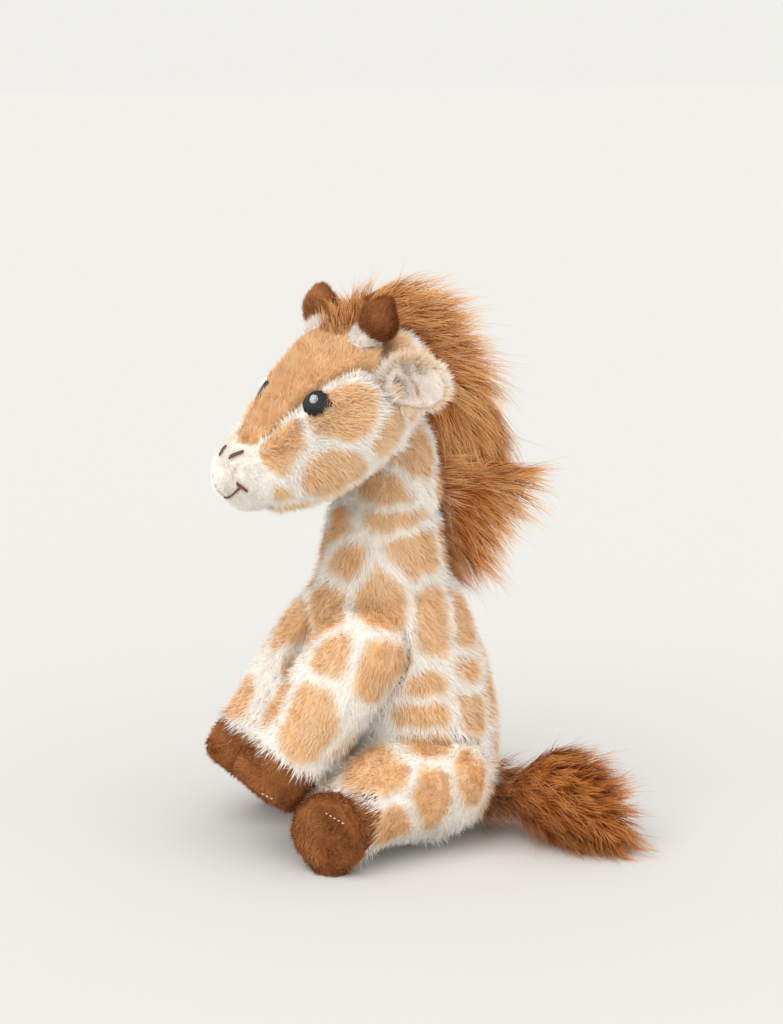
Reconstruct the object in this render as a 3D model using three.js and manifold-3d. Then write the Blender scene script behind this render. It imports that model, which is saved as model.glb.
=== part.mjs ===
// Sitting plush giraffe, in millimetres, +Z up. The body faces -Y and the giraffe's left side is at +X.
// The origin is the middle of the seat panel's flat underside, which the toy stands on.

import * as THREE from "three";
import { mergeVertices } from "three/addons/utils/BufferGeometryUtils.js";
import Module from "manifold-3d";

const wasm = await Module();
wasm.setup();

// Cloth and clearances
const plushWall = 2.4; // backing cloth with its pressed pile
const seamGap = 0.3; // left between pieces that touch
const fillingGap = 0.5; // left between cloth and the filling in it
const jointGap = 0.6; // left round a limb that turns
const socketGap = 1; // left round the round end that it turns on
const overrun = 400; // how far a cutting block reaches
const weld = 0.001; // corners closer than this are one corner

// Torso, a pear that is flat underneath
const torsoHeight = 100;
const torsoWidth = 76;
const torsoDepth = 67;
const torsoLean = 14.5; // how far the neck seam stands ahead of the seat
const floorCut = 0.5; // how deep a round hoof is cut flat on the floor
const seatWidth = 30;
const seatDepth = 22;
const seatWall = 2.6;
const beanBagWidth = 22;
const beanBagDepth = 24;
const beanBagHeight = 20;

// Neck, from a ball in the torso's top to a round end inside the head
const neckBallRadius = 12;
const neckBallSink = 2; // ball centre below the torso's rim
const neckRise = 62; // ball centre up to the head's turning point
const neckReach = 3; // how far the turning point stands behind the ball centre
const neckWidth = 52;
const neckDepth = 58;
const neckTopRadius = 20.5;

// Head, measured from its turning point
const headTurn = 18; // degrees to the giraffe's left
const headLength = 94;
const headTop = 50; // above the turning point
const headWidth = 71;
const headBack = 16; // back of the head behind the turning point
const muzzleLength = 14.5; // nose to the muzzle's seam
const muzzleDrop = 9.5; // where the seam is that far back, below the turning point
const muzzleTilt = 18; // degrees that the muzzle's seam leans
const chinDrop = 15; // chin seam below the turning point
const gussetWidth = 57;
const gussetBack = 14; // back edge of the forehead gusset ahead of the turning point
const gussetLength = 54;
const gussetTilt = 27; // degrees that the gusset's lower limit falls towards the nose
const gussetLimit = 32; // that limit above the turning point

// Horns
const hornSpread = 16; // foot from the middle of the head
const hornPlace = 22; // foot ahead of the turning point
const hornRise = 44.5; // foot above the turning point
const hornStemRadius = 6.5;
const hornRoot = 8; // how far the stem starts inside the head
const hornStemLength = 11; // foot to the middle of the tip
const hornTipWidth = 17.5;
const hornTipLength = 21;
const hornSplay = 28; // degrees outwards
const hornRake = 25; // degrees backwards

// Ears
const earSpread = 30; // hinge line from the middle of the head
const earPlace = 19.5; // hinge line ahead of the turning point
const earRise = 27; // ear's root above the turning point
const earLength = 28;
const earWidth = 24;
const earThickness = 7.5;
const earSweeps = { left: 14, right: 22 }; // degrees that each ear points backwards
const earLifts = { left: 18, right: -8 }; // degrees that each ear points upwards
const earCup = 28; // degrees that its opening looks downwards
const earDishRadius = 9;
const earDishDepth = 3;
const earLiningWall = 1.5;

// Stitched features
const eyeWidth = 10;
const eyeHeight = 9.6;
const eyeSpread = 20.5;
const eyeRise = 23.5; // above the turning point
const nostrilLength = 6.2;
const nostrilWidth = 2.4;
const nostrilSpread = 5.5;
const nostrilRise = 4; // above the turning point
const nostrilSlope = 35; // degrees that the outer end stands higher
const mouthWidth = 20;
const mouthHeight = 6;
const mouthDrop = 13; // middle of the mouth below the turning point
const mouthThread = 1; // radius of the sewn line
const stitchPad = 1.4; // half of a satin stitch's thickness

// Front legs
const shoulderSpread = 23;
const shoulderPlace = 30; // ahead of the seat's middle
const shoulderHeight = 81;
const frontLegLengths = { left: 50, right: 55 }; // shoulder to the hoof's seam
const frontLegRadius = 18.5;
const frontLegDrop = 54; // degrees below level
const shoulderFlat = 11; // flat inner face from the leg's middle
const shoulderFlatRadius = 24; // how far round the shoulder it reaches
const shoulderFlatWidening = 16; // how much further at the middle of the chest

// Hind legs
const hipSpread = 29.6;
const hipPlace = 5; // behind the seat's middle
const hipHeight = 27;
const thighWidth = 34;
const thighHeight = 41;
const hindLegLength = 50; // hip to the hoof's seam
const hindLegSplay = 12.8; // degrees outwards at the hip
const hindFootSplay = 48; // degrees outwards at the sole

// Hooves
const hoofRadius = 16.4;
const frontHoofLength = 18;
const hindHoofLength = 13;
const hoofEndRadius = 14.6;
const soleRadius = 13.7;
const soleWall = 2.2;

// Mane
const maneWidth = 16;
const maneLength = 36; // how far its hair stands out behind the neck
const maneSplit = 12; // the head's hair ends this far below the turning point

// Tail
const tailSpread = 5;
const tailPlace = 26; // behind the seat's middle
const tailHeight = 15;
const tailBallRadius = 7;
const tailStemRadius = 5.4;
const tailStemLength = 12;
const tailSwing = 50; // degrees from straight back towards the left
const tuftLength = 58;
const tuftWidth = 36;
const tuftHeight = 40;

// How far what is sewn on gives, in degrees
const frontLegLift = 25;
const hindLegSpreading = 20;
const earFlop = 18;
const tailWag = 20;

const { degToRad } = THREE.MathUtils;
const xAxis = new THREE.Vector3(1, 0, 0);
const yAxis = new THREE.Vector3(0, 1, 0);
const zAxis = new THREE.Vector3(0, 0, 1);
const at = (x, y, z) => new THREE.Vector3(x, y, z);
const origin = at(0, 0, 0);

// Places that several pieces share
const neckBall = at(0, -torsoLean, torsoHeight - neckBallSink);
const headPivot = at(0, neckBall.y + neckReach, neckBall.z + neckRise);
const tailPivot = at(tailSpread, tailPlace, tailHeight);
const frontPivot = (side) => at(side * shoulderSpread, -shoulderPlace, shoulderHeight);
const hindPivot = (side) => at(side * hipSpread, hipPlace, hipHeight);
const earPivot = (side) => at(side * earSpread, -earPlace, earRise);

// A closed three.js geometry as a solid that can be cut and joined.
function solid(geometry) {
  const loose = geometry.index ? geometry.toNonIndexed() : geometry;
  const bare = new THREE.BufferGeometry();
  bare.setAttribute("position", loose.getAttribute("position"));
  const merged = mergeVertices(bare, weld);
  const made = new wasm.Manifold(
    new wasm.Mesh({
      numProp: 3,
      vertProperties: merged.getAttribute("position").array,
      triVerts: new Uint32Array(merged.index.array),
    }),
  );
  return made.volume() < 0 ? solid(turnedInsideOut(merged)) : made;
}

function turnedInsideOut(geometry) {
  const index = [...geometry.index.array];
  for (let i = 0; i < index.length; i += 3) [index[i], index[i + 1]] = [index[i + 1], index[i]];
  return geometry.setIndex(index);
}

// The solid as a three.js geometry again.
function geometryOf(made) {
  const mesh = made.getMesh();
  const geometry = new THREE.BufferGeometry();
  geometry.setAttribute("position", new THREE.BufferAttribute(mesh.vertProperties, 3));
  geometry.setIndex(new THREE.BufferAttribute(mesh.triVerts, 1));
  const faceted = geometry.toNonIndexed();
  faceted.computeVertexNormals();
  return faceted;
}

// Joins rings of equally many points into one closed skin with a point at each end.
function skin(rings, first, last) {
  const sides = rings[0].length;
  const points = [first, ...rings.flat(), last];
  const top = rings.length - 1;
  const index = [];
  const corner = (ring, side) => 1 + ring * sides + (side % sides);
  for (let side = 0; side < sides; side++) {
    index.push(0, corner(0, side + 1), corner(0, side));
    index.push(points.length - 1, corner(top, side), corner(top, side + 1));
    for (let ring = 0; ring < top; ring++) {
      index.push(corner(ring, side), corner(ring, side + 1), corner(ring + 1, side + 1));
      index.push(corner(ring, side), corner(ring + 1, side + 1), corner(ring + 1, side));
    }
  }
  const geometry = new THREE.BufferGeometry().setFromPoints(points);
  geometry.setIndex(index);
  return geometry;
}

// A stuffed form from end to end. A station has the middle of its section, the half width along the side
// direction and the half depth across it. With a depth direction too, all sections lie in one plane's
// direction; upright ones stand square to the line as seen from above; the rest stand square to the line.
// grow moves the skin outwards. The hidden skins inside the cloth have half as many sides.
function stuffed(stations, { side, depth, upright, sides }, grow = 0) {
  const last = stations.length - 1;
  const line = stations.map((station) => station.middle);
  const length = line[0].distanceTo(line[last]);
  const heading = line.map((_, i) =>
    line[Math.min(i + 1, last)].clone().sub(line[Math.max(i - 1, 0)]).normalize(),
  );
  if (upright) heading.forEach((ahead) => ahead.setZ(0).normalize());
  const rings = stations.slice(1, last).map((station, i) => {
    const ahead = heading[i + 1];
    const across = depth ? side : side.clone().addScaledVector(ahead, -side.dot(ahead)).normalize();
    const along = depth ?? ahead.clone().cross(across);
    const share = line[0].distanceTo(station.middle) / length;
    const middle = station.middle.clone().addScaledVector(ahead, grow * (2 * share - 1));
    return Array.from({ length: sides }, (_, k) => {
      const angle = (2 * Math.PI * k) / sides;
      return middle
        .clone()
        .addScaledVector(across, (station.wide + grow) * Math.cos(angle))
        .addScaledVector(along, (station.deep + grow) * Math.sin(angle));
    });
  });
  const start = line[0].clone().addScaledVector(heading[0], -grow);
  const end = line[last].clone().addScaledVector(heading[last], grow);
  return solid(skin(rings, start, end));
}

// A solid turned on a lathe round a line through its foot, from pairs of radius and distance along it.
function turned(outline, foot, axis = zAxis, segments = 16) {
  const geometry = new THREE.LatheGeometry(
    outline.map(([radius, along]) => new THREE.Vector2(radius, along)),
    segments,
  );
  geometry.applyQuaternion(new THREE.Quaternion().setFromUnitVectors(yAxis, axis));
  geometry.translate(foot.x, foot.y, foot.z);
  return solid(geometry);
}

// An egg with three half sizes, its own z pointing along axis.
function egg(middle, [x, y, z], axis = zAxis, segments = 12) {
  const geometry = new THREE.SphereGeometry(1, segments, segments / 2);
  geometry.rotateX(Math.PI / 2);
  geometry.scale(x, y, z);
  geometry.applyQuaternion(new THREE.Quaternion().setFromUnitVectors(zAxis, axis));
  geometry.translate(middle.x, middle.y, middle.z);
  return solid(geometry);
}

const ball = (middle, radius, segments = 16) => egg(middle, [radius, radius, radius], zAxis, segments);

// Everything past a plane, on the side that its normal points to.
function beyond(point, normal) {
  const geometry = new THREE.BoxGeometry(2 * overrun, 2 * overrun, overrun);
  geometry.translate(0, 0, overrun / 2);
  geometry.applyQuaternion(new THREE.Quaternion().setFromUnitVectors(zAxis, normal.clone().normalize()));
  geometry.translate(point.x, point.y, point.z);
  return solid(geometry);
}

function turnedBy(made, pivot, axis, degrees) {
  const matrix = new THREE.Matrix4().makeTranslation(pivot.x, pivot.y, pivot.z);
  matrix.multiply(new THREE.Matrix4().makeRotationAxis(axis, degToRad(degrees)));
  matrix.multiply(new THREE.Matrix4().makeTranslation(-pivot.x, -pivot.y, -pivot.z));
  return made.transform(matrix.elements);
}

// The space that a solid passes through while it turns to each of some angles.
function swept(made, pivot, axis, angles) {
  return angles.map((degrees) => turnedBy(made, pivot, axis, degrees)).reduce((a, b) => a.add(b));
}

const down = zAxis.clone().negate();
const above = (height) => beyond(at(0, 0, height), zAxis);
const below = (height) => beyond(at(0, 0, height), down);
const half = (side) => beyond(at((side * seamGap) / 2, 0, 0), at(side, 0, 0));

const colours = {
  spottedPlush: 0xe6c08e,
  foreheadPlush: 0xd7a56e,
  creamPlush: 0xf4e8d8,
  brownPlush: 0x784b2d,
  hair: 0xb86c34,
  blackThread: 0x15130f,
  brownThread: 0x6e412d,
  fibre: 0xf6f5f0,
  calico: 0xe8e4da,
};

const group = new THREE.Group();
const headGroup = new THREE.Group();
headGroup.position.copy(headPivot);
headGroup.rotation.z = degToRad(headTurn);
group.add(headGroup);

// Adds one named piece. What is named for a side has left or right at its end.
function piece(name, made, colour, holder = group) {
  const material = new THREE.MeshStandardMaterial({ color: colour, roughness: 0.95, metalness: 0 });
  const mesh = new THREE.Mesh(geometryOf(made), material);
  mesh.name = name;
  holder.add(mesh);
}

const sideName = (side) => (side > 0 ? "left" : "right");

// Torso sections from the floor up: height, how far ahead of the seat, width and depth, each as a share.
const torsoShares = [
  [-0.07, 0.46, 0, 0],
  [-0.04, 0.45, 0.46, 0.42],
  [0, 0.41, 0.65, 0.61],
  [0.06, 0.29, 0.79, 0.73],
  [0.15, 0.13, 0.92, 0.84],
  [0.27, 0, 0.99, 0.94],
  [0.42, 0.02, 1, 0.99],
  [0.62, 0.24, 0.97, 1],
  [0.76, 0.54, 0.91, 1],
  [0.88, 0.82, 0.83, 1],
  [1, 1.02, 0.77, 0.94],
  [1.08, 1.05, 0.5, 0.6],
  [1.11, 1.05, 0, 0],
];

function torsoForm(grow) {
  const stations = torsoShares.map(([height, ahead, wide, deep]) => ({
    middle: at(0, -ahead * torsoLean, height * torsoHeight),
    wide: (wide * torsoWidth) / 2,
    deep: (deep * torsoDepth) / 2,
  }));
  return stuffed(stations, { side: xAxis, depth: yAxis, sides: grow < 0 ? 8 : 16 }, grow);
}

// Neck sections from its ball up: height as a share of the rise to the turning point, then width and depth
// as shares of the neck's.
const neckShares = [
  [0.075, 0, 0],
  [0.085, 0.74, 0.72],
  [0.12, 0.97, 0.95],
  [0.37, 0.885, 0.84],
  [0.58, 0.81, 0.755],
];

// The rest of the neck is round about the head's turning line: radius as a share of the neck's top
// radius, and height above the turning point as a share of the neck's rise.
const neckTopShares = [
  [1, -0.31],
  [0.95, -0.19],
  [0.88, -0.065],
  [0.85, 0.016],
  [0.73, 0.113],
  [0.42, 0.166],
  [0, 0.177],
];

const neckTopOutline = neckTopShares.map(([radius, rise]) => [radius * neckTopRadius, rise * neckRise]);

function neckForm(grow) {
  const lower = neckShares.map(([rise, wide, deep]) => ({
    middle: neckBall.clone().add(at(0, 0, rise * neckRise)),
    wide: (wide * neckWidth) / 2,
    deep: (deep * neckDepth) / 2,
  }));
  const upper = neckTopOutline.map(([radius, rise]) => ({
    middle: headPivot.clone().add(at(0, 0, rise)),
    wide: radius,
    deep: radius,
  }));
  const column = stuffed([...lower, ...upper], { side: xAxis, depth: yAxis, sides: grow < 0 ? 8 : 16 }, grow);
  return column.add(ball(neckBall, neckBallRadius + grow, 16));
}

// The space for the neck's round end, wherever the head turns to, measured from the turning point.
function neckSocket() {
  const grown = neckTopOutline.slice(0, -1).map(([radius, rise]) => [radius + jointGap, rise]);
  const top = neckTopOutline[neckTopOutline.length - 1][1] + jointGap;
  const mouth = grown[0][0] + jointGap;
  return turned([[0, -neckRise], [mouth, -neckRise], ...grown, [0, top]], origin);
}

// Head sections from the back of the head to the nose: place along it as a share of its length, top and
// bottom as shares of the head's top above the turning point, and width as a share of the head's.
const headShares = [
  [0, 0.54, 0.54, 0],
  [0.016, 0.72, 0.36, 0.2],
  [0.059, 0.84, 0.24, 0.37],
  [0.144, 0.93, 0.11, 0.54],
  [0.26, 0.99, -0.07, 0.76],
  [0.378, 1, -0.2, 0.93],
  [0.495, 0.93, -0.31, 1],
  [0.612, 0.75, -0.39, 0.93],
  [0.729, 0.48, -0.4, 0.75],
  [0.824, 0.26, -0.4, 0.58],
  [0.91, 0.15, -0.39, 0.48],
  [0.973, 0.06, -0.3, 0.32],
  [1, -0.12, -0.12, 0],
];

function headForm(grow) {
  const stations = headShares.map(([along, top, bottom, wide]) => ({
    middle: at(0, headBack - along * headLength, ((top + bottom) * headTop) / 2),
    wide: (wide * headWidth) / 2,
    deep: ((top - bottom) * headTop) / 2,
  }));
  return stuffed(stations, { side: xAxis, depth: zAxis, sides: grow < 0 ? 8 : 16 }, grow);
}

// Radius of a limb's last stretch, from the hoof's seam to the middle of the sole.
function hoofOutline(seam, length) {
  return [
    [seam, hoofRadius],
    [seam + length * 0.46, hoofRadius],
    [seam + length * 0.8, hoofRadius * 0.97],
    [seam + length, hoofEndRadius],
    [seam + length, 0],
  ];
}

// Front leg sections from the shoulder's round end to just before the hoof: place and radius as shares of
// the leg's radius.
const frontLegShares = [
  [-1.06, 0],
  [-0.93, 0.5],
  [-0.6, 0.86],
  [0, 1.05],
  [0.9, 1.04],
  [1.8, 0.98],
];

const frontLegLine = at(0, -Math.cos(degToRad(frontLegDrop)), -Math.sin(degToRad(frontLegDrop)));

function frontLegRound(side, grow) {
  const stations = [
    ...frontLegShares.map(([along, radius]) => [along * frontLegRadius, radius * frontLegRadius]),
    ...hoofOutline(frontLegLengths[sideName(side)], frontHoofLength),
  ].map(([along, radius]) => ({
    middle: frontPivot(side).addScaledVector(frontLegLine, along),
    wide: radius,
    deep: radius,
  }));
  return stuffed(stations, { side: xAxis, sides: grow < 0 ? 6 : 12 }, grow);
}

// The leg has a flat face where it lies against the chest, round about the shoulder.
function insideOfShoulder(side, grow) {
  const flat = frontPivot(side).add(at(-side * (shoulderFlat + grow), 0, 0));
  const reach = shoulderFlatRadius - grow;
  const widest = reach + shoulderFlatWidening;
  const outline = [[0, 0], [reach, 0], [widest, shoulderFlat], [widest, overrun], [0, overrun]];
  return turned(outline, flat, at(-side, 0, 0), 20);
}

const frontLegForm = (side, grow) => frontLegRound(side, grow).subtract(insideOfShoulder(side, grow));

// Hind leg sections from its rear: place along the thigh, how far the middle has not yet sunk to the
// hoof's, then width and height, all as shares.
const thighShares = [
  [-0.35, 1, 0, 0],
  [-0.31, 1, 0.44, 0.46],
  [-0.19, 1, 0.83, 0.84],
  [0, 1, 1, 1],
  [0.3, 1, 1.03, 1],
  [0.6, 0.97, 1.04, 1],
  [0.8, 0.7, 1, 0.93],
];

const outwards = (side, degrees) => at(side * Math.sin(degToRad(degrees)), -Math.cos(degToRad(degrees)), 0);

function hindLegPlaces(side) {
  const hip = hindPivot(side);
  const thigh = outwards(side, hindLegSplay);
  const foot = outwards(side, hindFootSplay);
  const ankle = hip.clone().addScaledVector(thigh, hindLegLength).setZ(hoofRadius - floorCut);
  return { hip, thigh, foot, ankle };
}

function hindLegForm(side, grow) {
  const { hip, thigh, foot, ankle } = hindLegPlaces(side);
  const upper = thighShares.map(([along, rise, wide, high]) => ({
    middle: hip
      .clone()
      .addScaledVector(thigh, along * hindLegLength)
      .setZ(ankle.z + rise * (hip.z - ankle.z)),
    wide: (wide * thighWidth) / 2,
    deep: (high * thighHeight) / 2,
  }));
  const hoof = hoofOutline(0, hindHoofLength).map(([along, radius]) => ({
    middle: ankle.clone().addScaledVector(foot, along),
    wide: radius,
    deep: radius,
  }));
  const sides = grow < 0 ? 6 : 12;
  return stuffed([...upper, ...hoof], { side: xAxis, upright: true, sides }, grow);
}

// Ear sections from inside the head to its tip: place as a share of its length, then width and thickness.
const earShares = [
  [-0.24, 0, 0],
  [-0.18, 0.28, 0.6],
  [0, 0.5, 1],
  [0.3, 0.9, 1],
  [0.55, 1, 0.95],
  [0.8, 0.8, 0.72],
  [0.95, 0.4, 0.4],
  [1, 0, 0],
];

function earLine(side) {
  const lift = degToRad(earLifts[sideName(side)]);
  const sweep = degToRad(earSweeps[sideName(side)]);
  return at(side * Math.cos(sweep) * Math.cos(lift), Math.sin(sweep) * Math.cos(lift), Math.sin(lift));
}

const earFacing = at(0, -Math.cos(degToRad(earCup)), -Math.sin(degToRad(earCup)));
const earAcross = at(0, -Math.sin(degToRad(earCup)), Math.cos(degToRad(earCup)));

function earForm(side, grow) {
  const stations = earShares.map(([along, wide, thick]) => ({
    middle: earPivot(side).addScaledVector(earLine(side), along * earLength),
    wide: (wide * earWidth) / 2,
    deep: (thick * earThickness) / 2,
  }));
  return stuffed(stations, { side: earAcross, sides: 12 }, grow);
}

// Tail form: a ball, a short stem and a tuft of hair lying on the floor.
const tailLine = at(Math.sin(degToRad(tailSwing)), Math.cos(degToRad(tailSwing)), 0);

function tailStem(grow) {
  const radius = tailStemRadius + grow;
  const end = tailStemLength + grow;
  return turned([[0, 0], [radius, 0], [radius, end], [0, end]], tailPivot, tailLine, 12);
}

// Tuft sections: place as a share of its length, height of the middle, width and height as shares.
const tuftShares = [
  [0, 0.42, 0, 0],
  [0.03, 0.42, 0.36, 0.34],
  [0.15, 0.46, 0.7, 0.66],
  [0.35, 0.49, 1, 0.98],
  [0.55, 0.46, 1, 0.95],
  [0.75, 0.36, 0.8, 0.72],
  [0.92, 0.2, 0.42, 0.38],
  [1, 0.1, 0, 0],
];

function tuftForm() {
  const root = tailPivot.clone().addScaledVector(tailLine, tailStemLength + seamGap);
  const stations = tuftShares.map(([along, rise, wide, high]) => ({
    middle: root.clone().addScaledVector(tailLine, along * tuftLength).setZ(rise * tuftHeight),
    wide: (wide * tuftWidth) / 2,
    deep: (high * tuftHeight) / 2,
  }));
  return stuffed(stations, { side: xAxis, upright: true, sides: 12 });
}

// Spaces that the torso leaves for what is sewn to it, at every angle that the piece can turn to.
function frontPocket(side) {
  const shoulder = ball(frontPivot(side), frontLegShares[3][1] * frontLegRadius + socketGap);
  const angles = [0, frontLegLift / 2, frontLegLift];
  const leg = swept(frontLegRound(side, jointGap), frontPivot(side), at(-1, 0, 0), angles);
  return leg.add(shoulder).subtract(insideOfShoulder(side, jointGap));
}

function hindPocket(side) {
  const half = [thighWidth / 2 + socketGap, thighWidth / 2 + socketGap, thighHeight / 2 + socketGap];
  const angles = [0, hindLegSpreading / 2, hindLegSpreading];
  const thigh = swept(hindLegForm(side, jointGap), hindPivot(side), at(0, 0, side), angles);
  return thigh.add(egg(hindPivot(side), half, zAxis, 16));
}

function tailPocket() {
  const stem = swept(tailStem(jointGap), tailPivot, zAxis, [-tailWag, 0, tailWag]);
  return stem.add(ball(tailPivot, tailBallRadius + jointGap, 14));
}

function torsoPockets() {
  const neck = ball(neckBall, neckBallRadius + jointGap, 16);
  return [frontPocket(1), frontPocket(-1), hindPocket(1), hindPocket(-1), tailPocket()].reduce(
    (space, pocket) => space.add(pocket),
    neck,
  );
}

function seatDisc(grow) {
  const disc = turned(
    [[0, -grow], [1, -grow], [1, seatWall + grow], [0, seatWall + grow]],
    origin,
    zAxis,
    24,
  );
  return disc.scale([seatWidth / 2 + grow, seatDepth / 2 + grow, 1]);
}

function beanBag(grow) {
  const half = [beanBagWidth / 2 + grow, beanBagDepth / 2 + grow, beanBagHeight + grow];
  return egg(at(0, 0, seatWall + seamGap), half, zAxis, 14);
}

function addTorso() {
  const pockets = torsoPockets();
  const cloth = torsoForm(0)
    .intersect(above(0))
    .intersect(below(torsoHeight))
    .subtract(torsoForm(-plushWall).intersect(above(plushWall)))
    .subtract(pockets)
    .subtract(seatDisc(seamGap));
  for (const side of [1, -1]) {
    piece("torso_panel_" + sideName(side), cloth.intersect(half(side)), colours.spottedPlush);
  }
  piece("seat_panel", seatDisc(0), colours.creamPlush);
  const inside = above(seatWall + seamGap);
  const filling = torsoForm(-plushWall - fillingGap).intersect(inside).intersect(below(torsoHeight));
  piece("torso_stuffing", filling.subtract(pockets).subtract(beanBag(seamGap)), colours.fibre);
  piece("seat_bean_bag", beanBag(0).intersect(inside), colours.calico);
}

function addNeck() {
  const cloth = neckForm(0).subtract(neckForm(-plushWall));
  for (const side of [1, -1]) {
    piece("neck_panel_" + sideName(side), cloth.intersect(half(side)), colours.spottedPlush);
  }
  piece("neck_stuffing", neckForm(-plushWall - fillingGap), colours.fibre);
}

// The forehead gusset seen from above, wide behind the brow and narrow at the muzzle: places along it as
// shares of its length, and its width there as a share of its width.
const gussetShares = [
  [0, 0.6],
  [0.16, 1],
  [0.5, 0.66],
  [0.72, 0.4],
  [1, 0.18],
];

function gussetSpace(grow) {
  const edge = (side) =>
    gussetShares.map(([along, wide], i) => {
      const back = i === 0 ? grow : 0;
      return new THREE.Vector2(side * ((wide * gussetWidth) / 2 + grow), back - gussetBack - along * gussetLength);
    });
  const shape = new THREE.Shape([...edge(1), ...edge(-1).reverse()]);
  const column = solid(new THREE.ExtrudeGeometry(shape, { depth: overrun, bevelEnabled: false }));
  const tilt = degToRad(gussetTilt);
  return column
    .translate([0, 0, -headTop])
    .intersect(beyond(at(0, 0, gussetLimit - grow), at(0, -Math.sin(tilt), Math.cos(tilt))));
}

// A plane through the muzzle's seam, moved forwards by shift, as the space ahead of it.
function aheadOfMuzzleSeam(shift) {
  const lean = degToRad(muzzleTilt);
  const normal = at(0, -Math.cos(lean), -Math.sin(lean));
  const place = at(0, headBack - headLength + muzzleLength, -muzzleDrop);
  return beyond(place.addScaledVector(normal, shift), normal);
}

// The space round an ear's root.
function earPocket(side) {
  return swept(earForm(side, jointGap), earPivot(side), zAxis, [-earFlop, 0, earFlop]);
}

function addHeadCloth() {
  const ears = earPocket(1).add(earPocket(-1));
  const inside = headForm(-plushWall);
  const cloth = headForm(0).subtract(inside).subtract(neckSocket());
  const nose = cloth.intersect(aheadOfMuzzleSeam(seamGap / 2));
  const rest = cloth.subtract(aheadOfMuzzleSeam(-seamGap / 2)).subtract(ears);
  const sides = rest.subtract(gussetSpace(seamGap));
  const chin = beyond(at(0, 0, -chinDrop), down);
  const lip = beyond(at(0, 0, -chinDrop + seamGap), zAxis);
  for (const side of [1, -1]) {
    piece("head_side_" + sideName(side), sides.intersect(half(side)), colours.spottedPlush, headGroup);
  }
  piece("forehead_gusset", rest.intersect(gussetSpace(0)), colours.foreheadPlush, headGroup);
  piece("muzzle_panel", nose.intersect(lip), colours.creamPlush, headGroup);
  piece("chin_panel", nose.intersect(chin), colours.creamPlush, headGroup);
  const filling = headForm(-plushWall - fillingGap).subtract(neckSocket()).subtract(ears);
  piece("head_stuffing", filling, colours.fibre, headGroup);
}

function addHorn(side) {
  const foot = at(side * hornSpread, -hornPlace, hornRise);
  const line = at(side * Math.tan(degToRad(hornSplay)), Math.tan(degToRad(hornRake)), 1).normalize();
  const middle = foot.clone().addScaledVector(line, hornStemLength);
  const tip = (grow) =>
    egg(middle, [hornTipWidth / 2 + grow, hornTipWidth / 2 + grow, hornTipLength / 2 + grow], line, 12);
  const stem = turned(
    [[0, -hornRoot], [hornStemRadius, -hornRoot], [hornStemRadius, hornStemLength], [0, hornStemLength]],
    foot,
    line,
    14,
  );
  const standing = stem.subtract(headForm(seamGap)).subtract(tip(seamGap));
  piece("horn_stem_" + sideName(side), standing, colours.creamPlush, headGroup);
  piece("horn_tip_" + sideName(side), tip(0).subtract(headForm(seamGap)), colours.brownPlush, headGroup);
}

function addEar(side) {
  const middle = earPivot(side).addScaledVector(earLine(side), earLength * 0.52);
  const mouth = middle.addScaledVector(earFacing, earThickness / 2);
  const dish = (grow, out) =>
    egg(
      mouth.clone().addScaledVector(earFacing, out),
      [earDishRadius + grow, earDishRadius + grow, earDishDepth + grow],
      earFacing,
      12,
    );
  piece("ear_back_" + sideName(side), earForm(side, 0).subtract(dish(0, 0)), colours.spottedPlush, headGroup);
  const lining = dish(-seamGap, 0).subtract(dish(0, earLiningWall)).intersect(earForm(side, 0));
  piece("ear_lining_" + sideName(side), lining, colours.creamPlush, headGroup);
}

// The point on the head's skin met by a line from the front, and the skin's direction there.
const headSkin = new THREE.Mesh(geometryOf(headForm(0)), new THREE.MeshBasicMaterial());

function onFace(x, z) {
  const ray = new THREE.Raycaster(at(x, -overrun, z), yAxis);
  const hit = ray.intersectObject(headSkin)[0];
  return { point: hit.point, normal: hit.face.normal };
}

// A satin stitched patch, an egg half sunk in the face and turned in its own plane.
function patch(x, z, width, height, slope) {
  const { point, normal } = onFace(x, z);
  const flat = egg(origin, [width / 2, height / 2, stitchPad], zAxis, 12);
  const outAcross = zAxis.clone().cross(normal).normalize();
  const outUp = normal.clone().cross(outAcross);
  const turnedAcross = outAcross.clone().applyAxisAngle(normal, degToRad(slope));
  const turnedUp = outUp.clone().applyAxisAngle(normal, degToRad(slope));
  const matrix = new THREE.Matrix4().makeBasis(turnedAcross, turnedUp, normal).setPosition(point);
  return flat.transform(matrix.elements).subtract(headForm(seamGap));
}

// The mouth line, a flat curve with its ends up, as shares of its half width and height.
const mouthShares = [
  [-1, 1],
  [-0.96, 0.9],
  [-0.7, 0.42],
  [-0.35, 0.1],
  [0, 0],
  [0.35, 0.1],
  [0.7, 0.42],
  [0.96, 0.9],
  [1, 1],
];

function mouth() {
  const last = mouthShares.length - 1;
  const stations = mouthShares.map(([across, rise], i) => {
    const { point, normal } = onFace((across * mouthWidth) / 2, -mouthDrop + rise * mouthHeight);
    const radius = i === 0 || i === last ? 0 : mouthThread;
    return { middle: point.addScaledVector(normal, seamGap), wide: radius, deep: radius };
  });
  return stuffed(stations, { side: zAxis, sides: 8 }).subtract(headForm(seamGap));
}

function addStitchedFace() {
  for (const side of [1, -1]) {
    const eye = patch(side * eyeSpread, eyeRise, eyeWidth, eyeHeight, 0);
    const nostril = patch(side * nostrilSpread, nostrilRise, nostrilLength, nostrilWidth, side * nostrilSlope);
    piece("eye_" + sideName(side), eye, colours.blackThread, headGroup);
    piece("nostril_" + sideName(side), nostril, colours.brownThread, headGroup);
  }
  piece("mouth_stitch", mouth(), colours.brownThread, headGroup);
}

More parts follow.
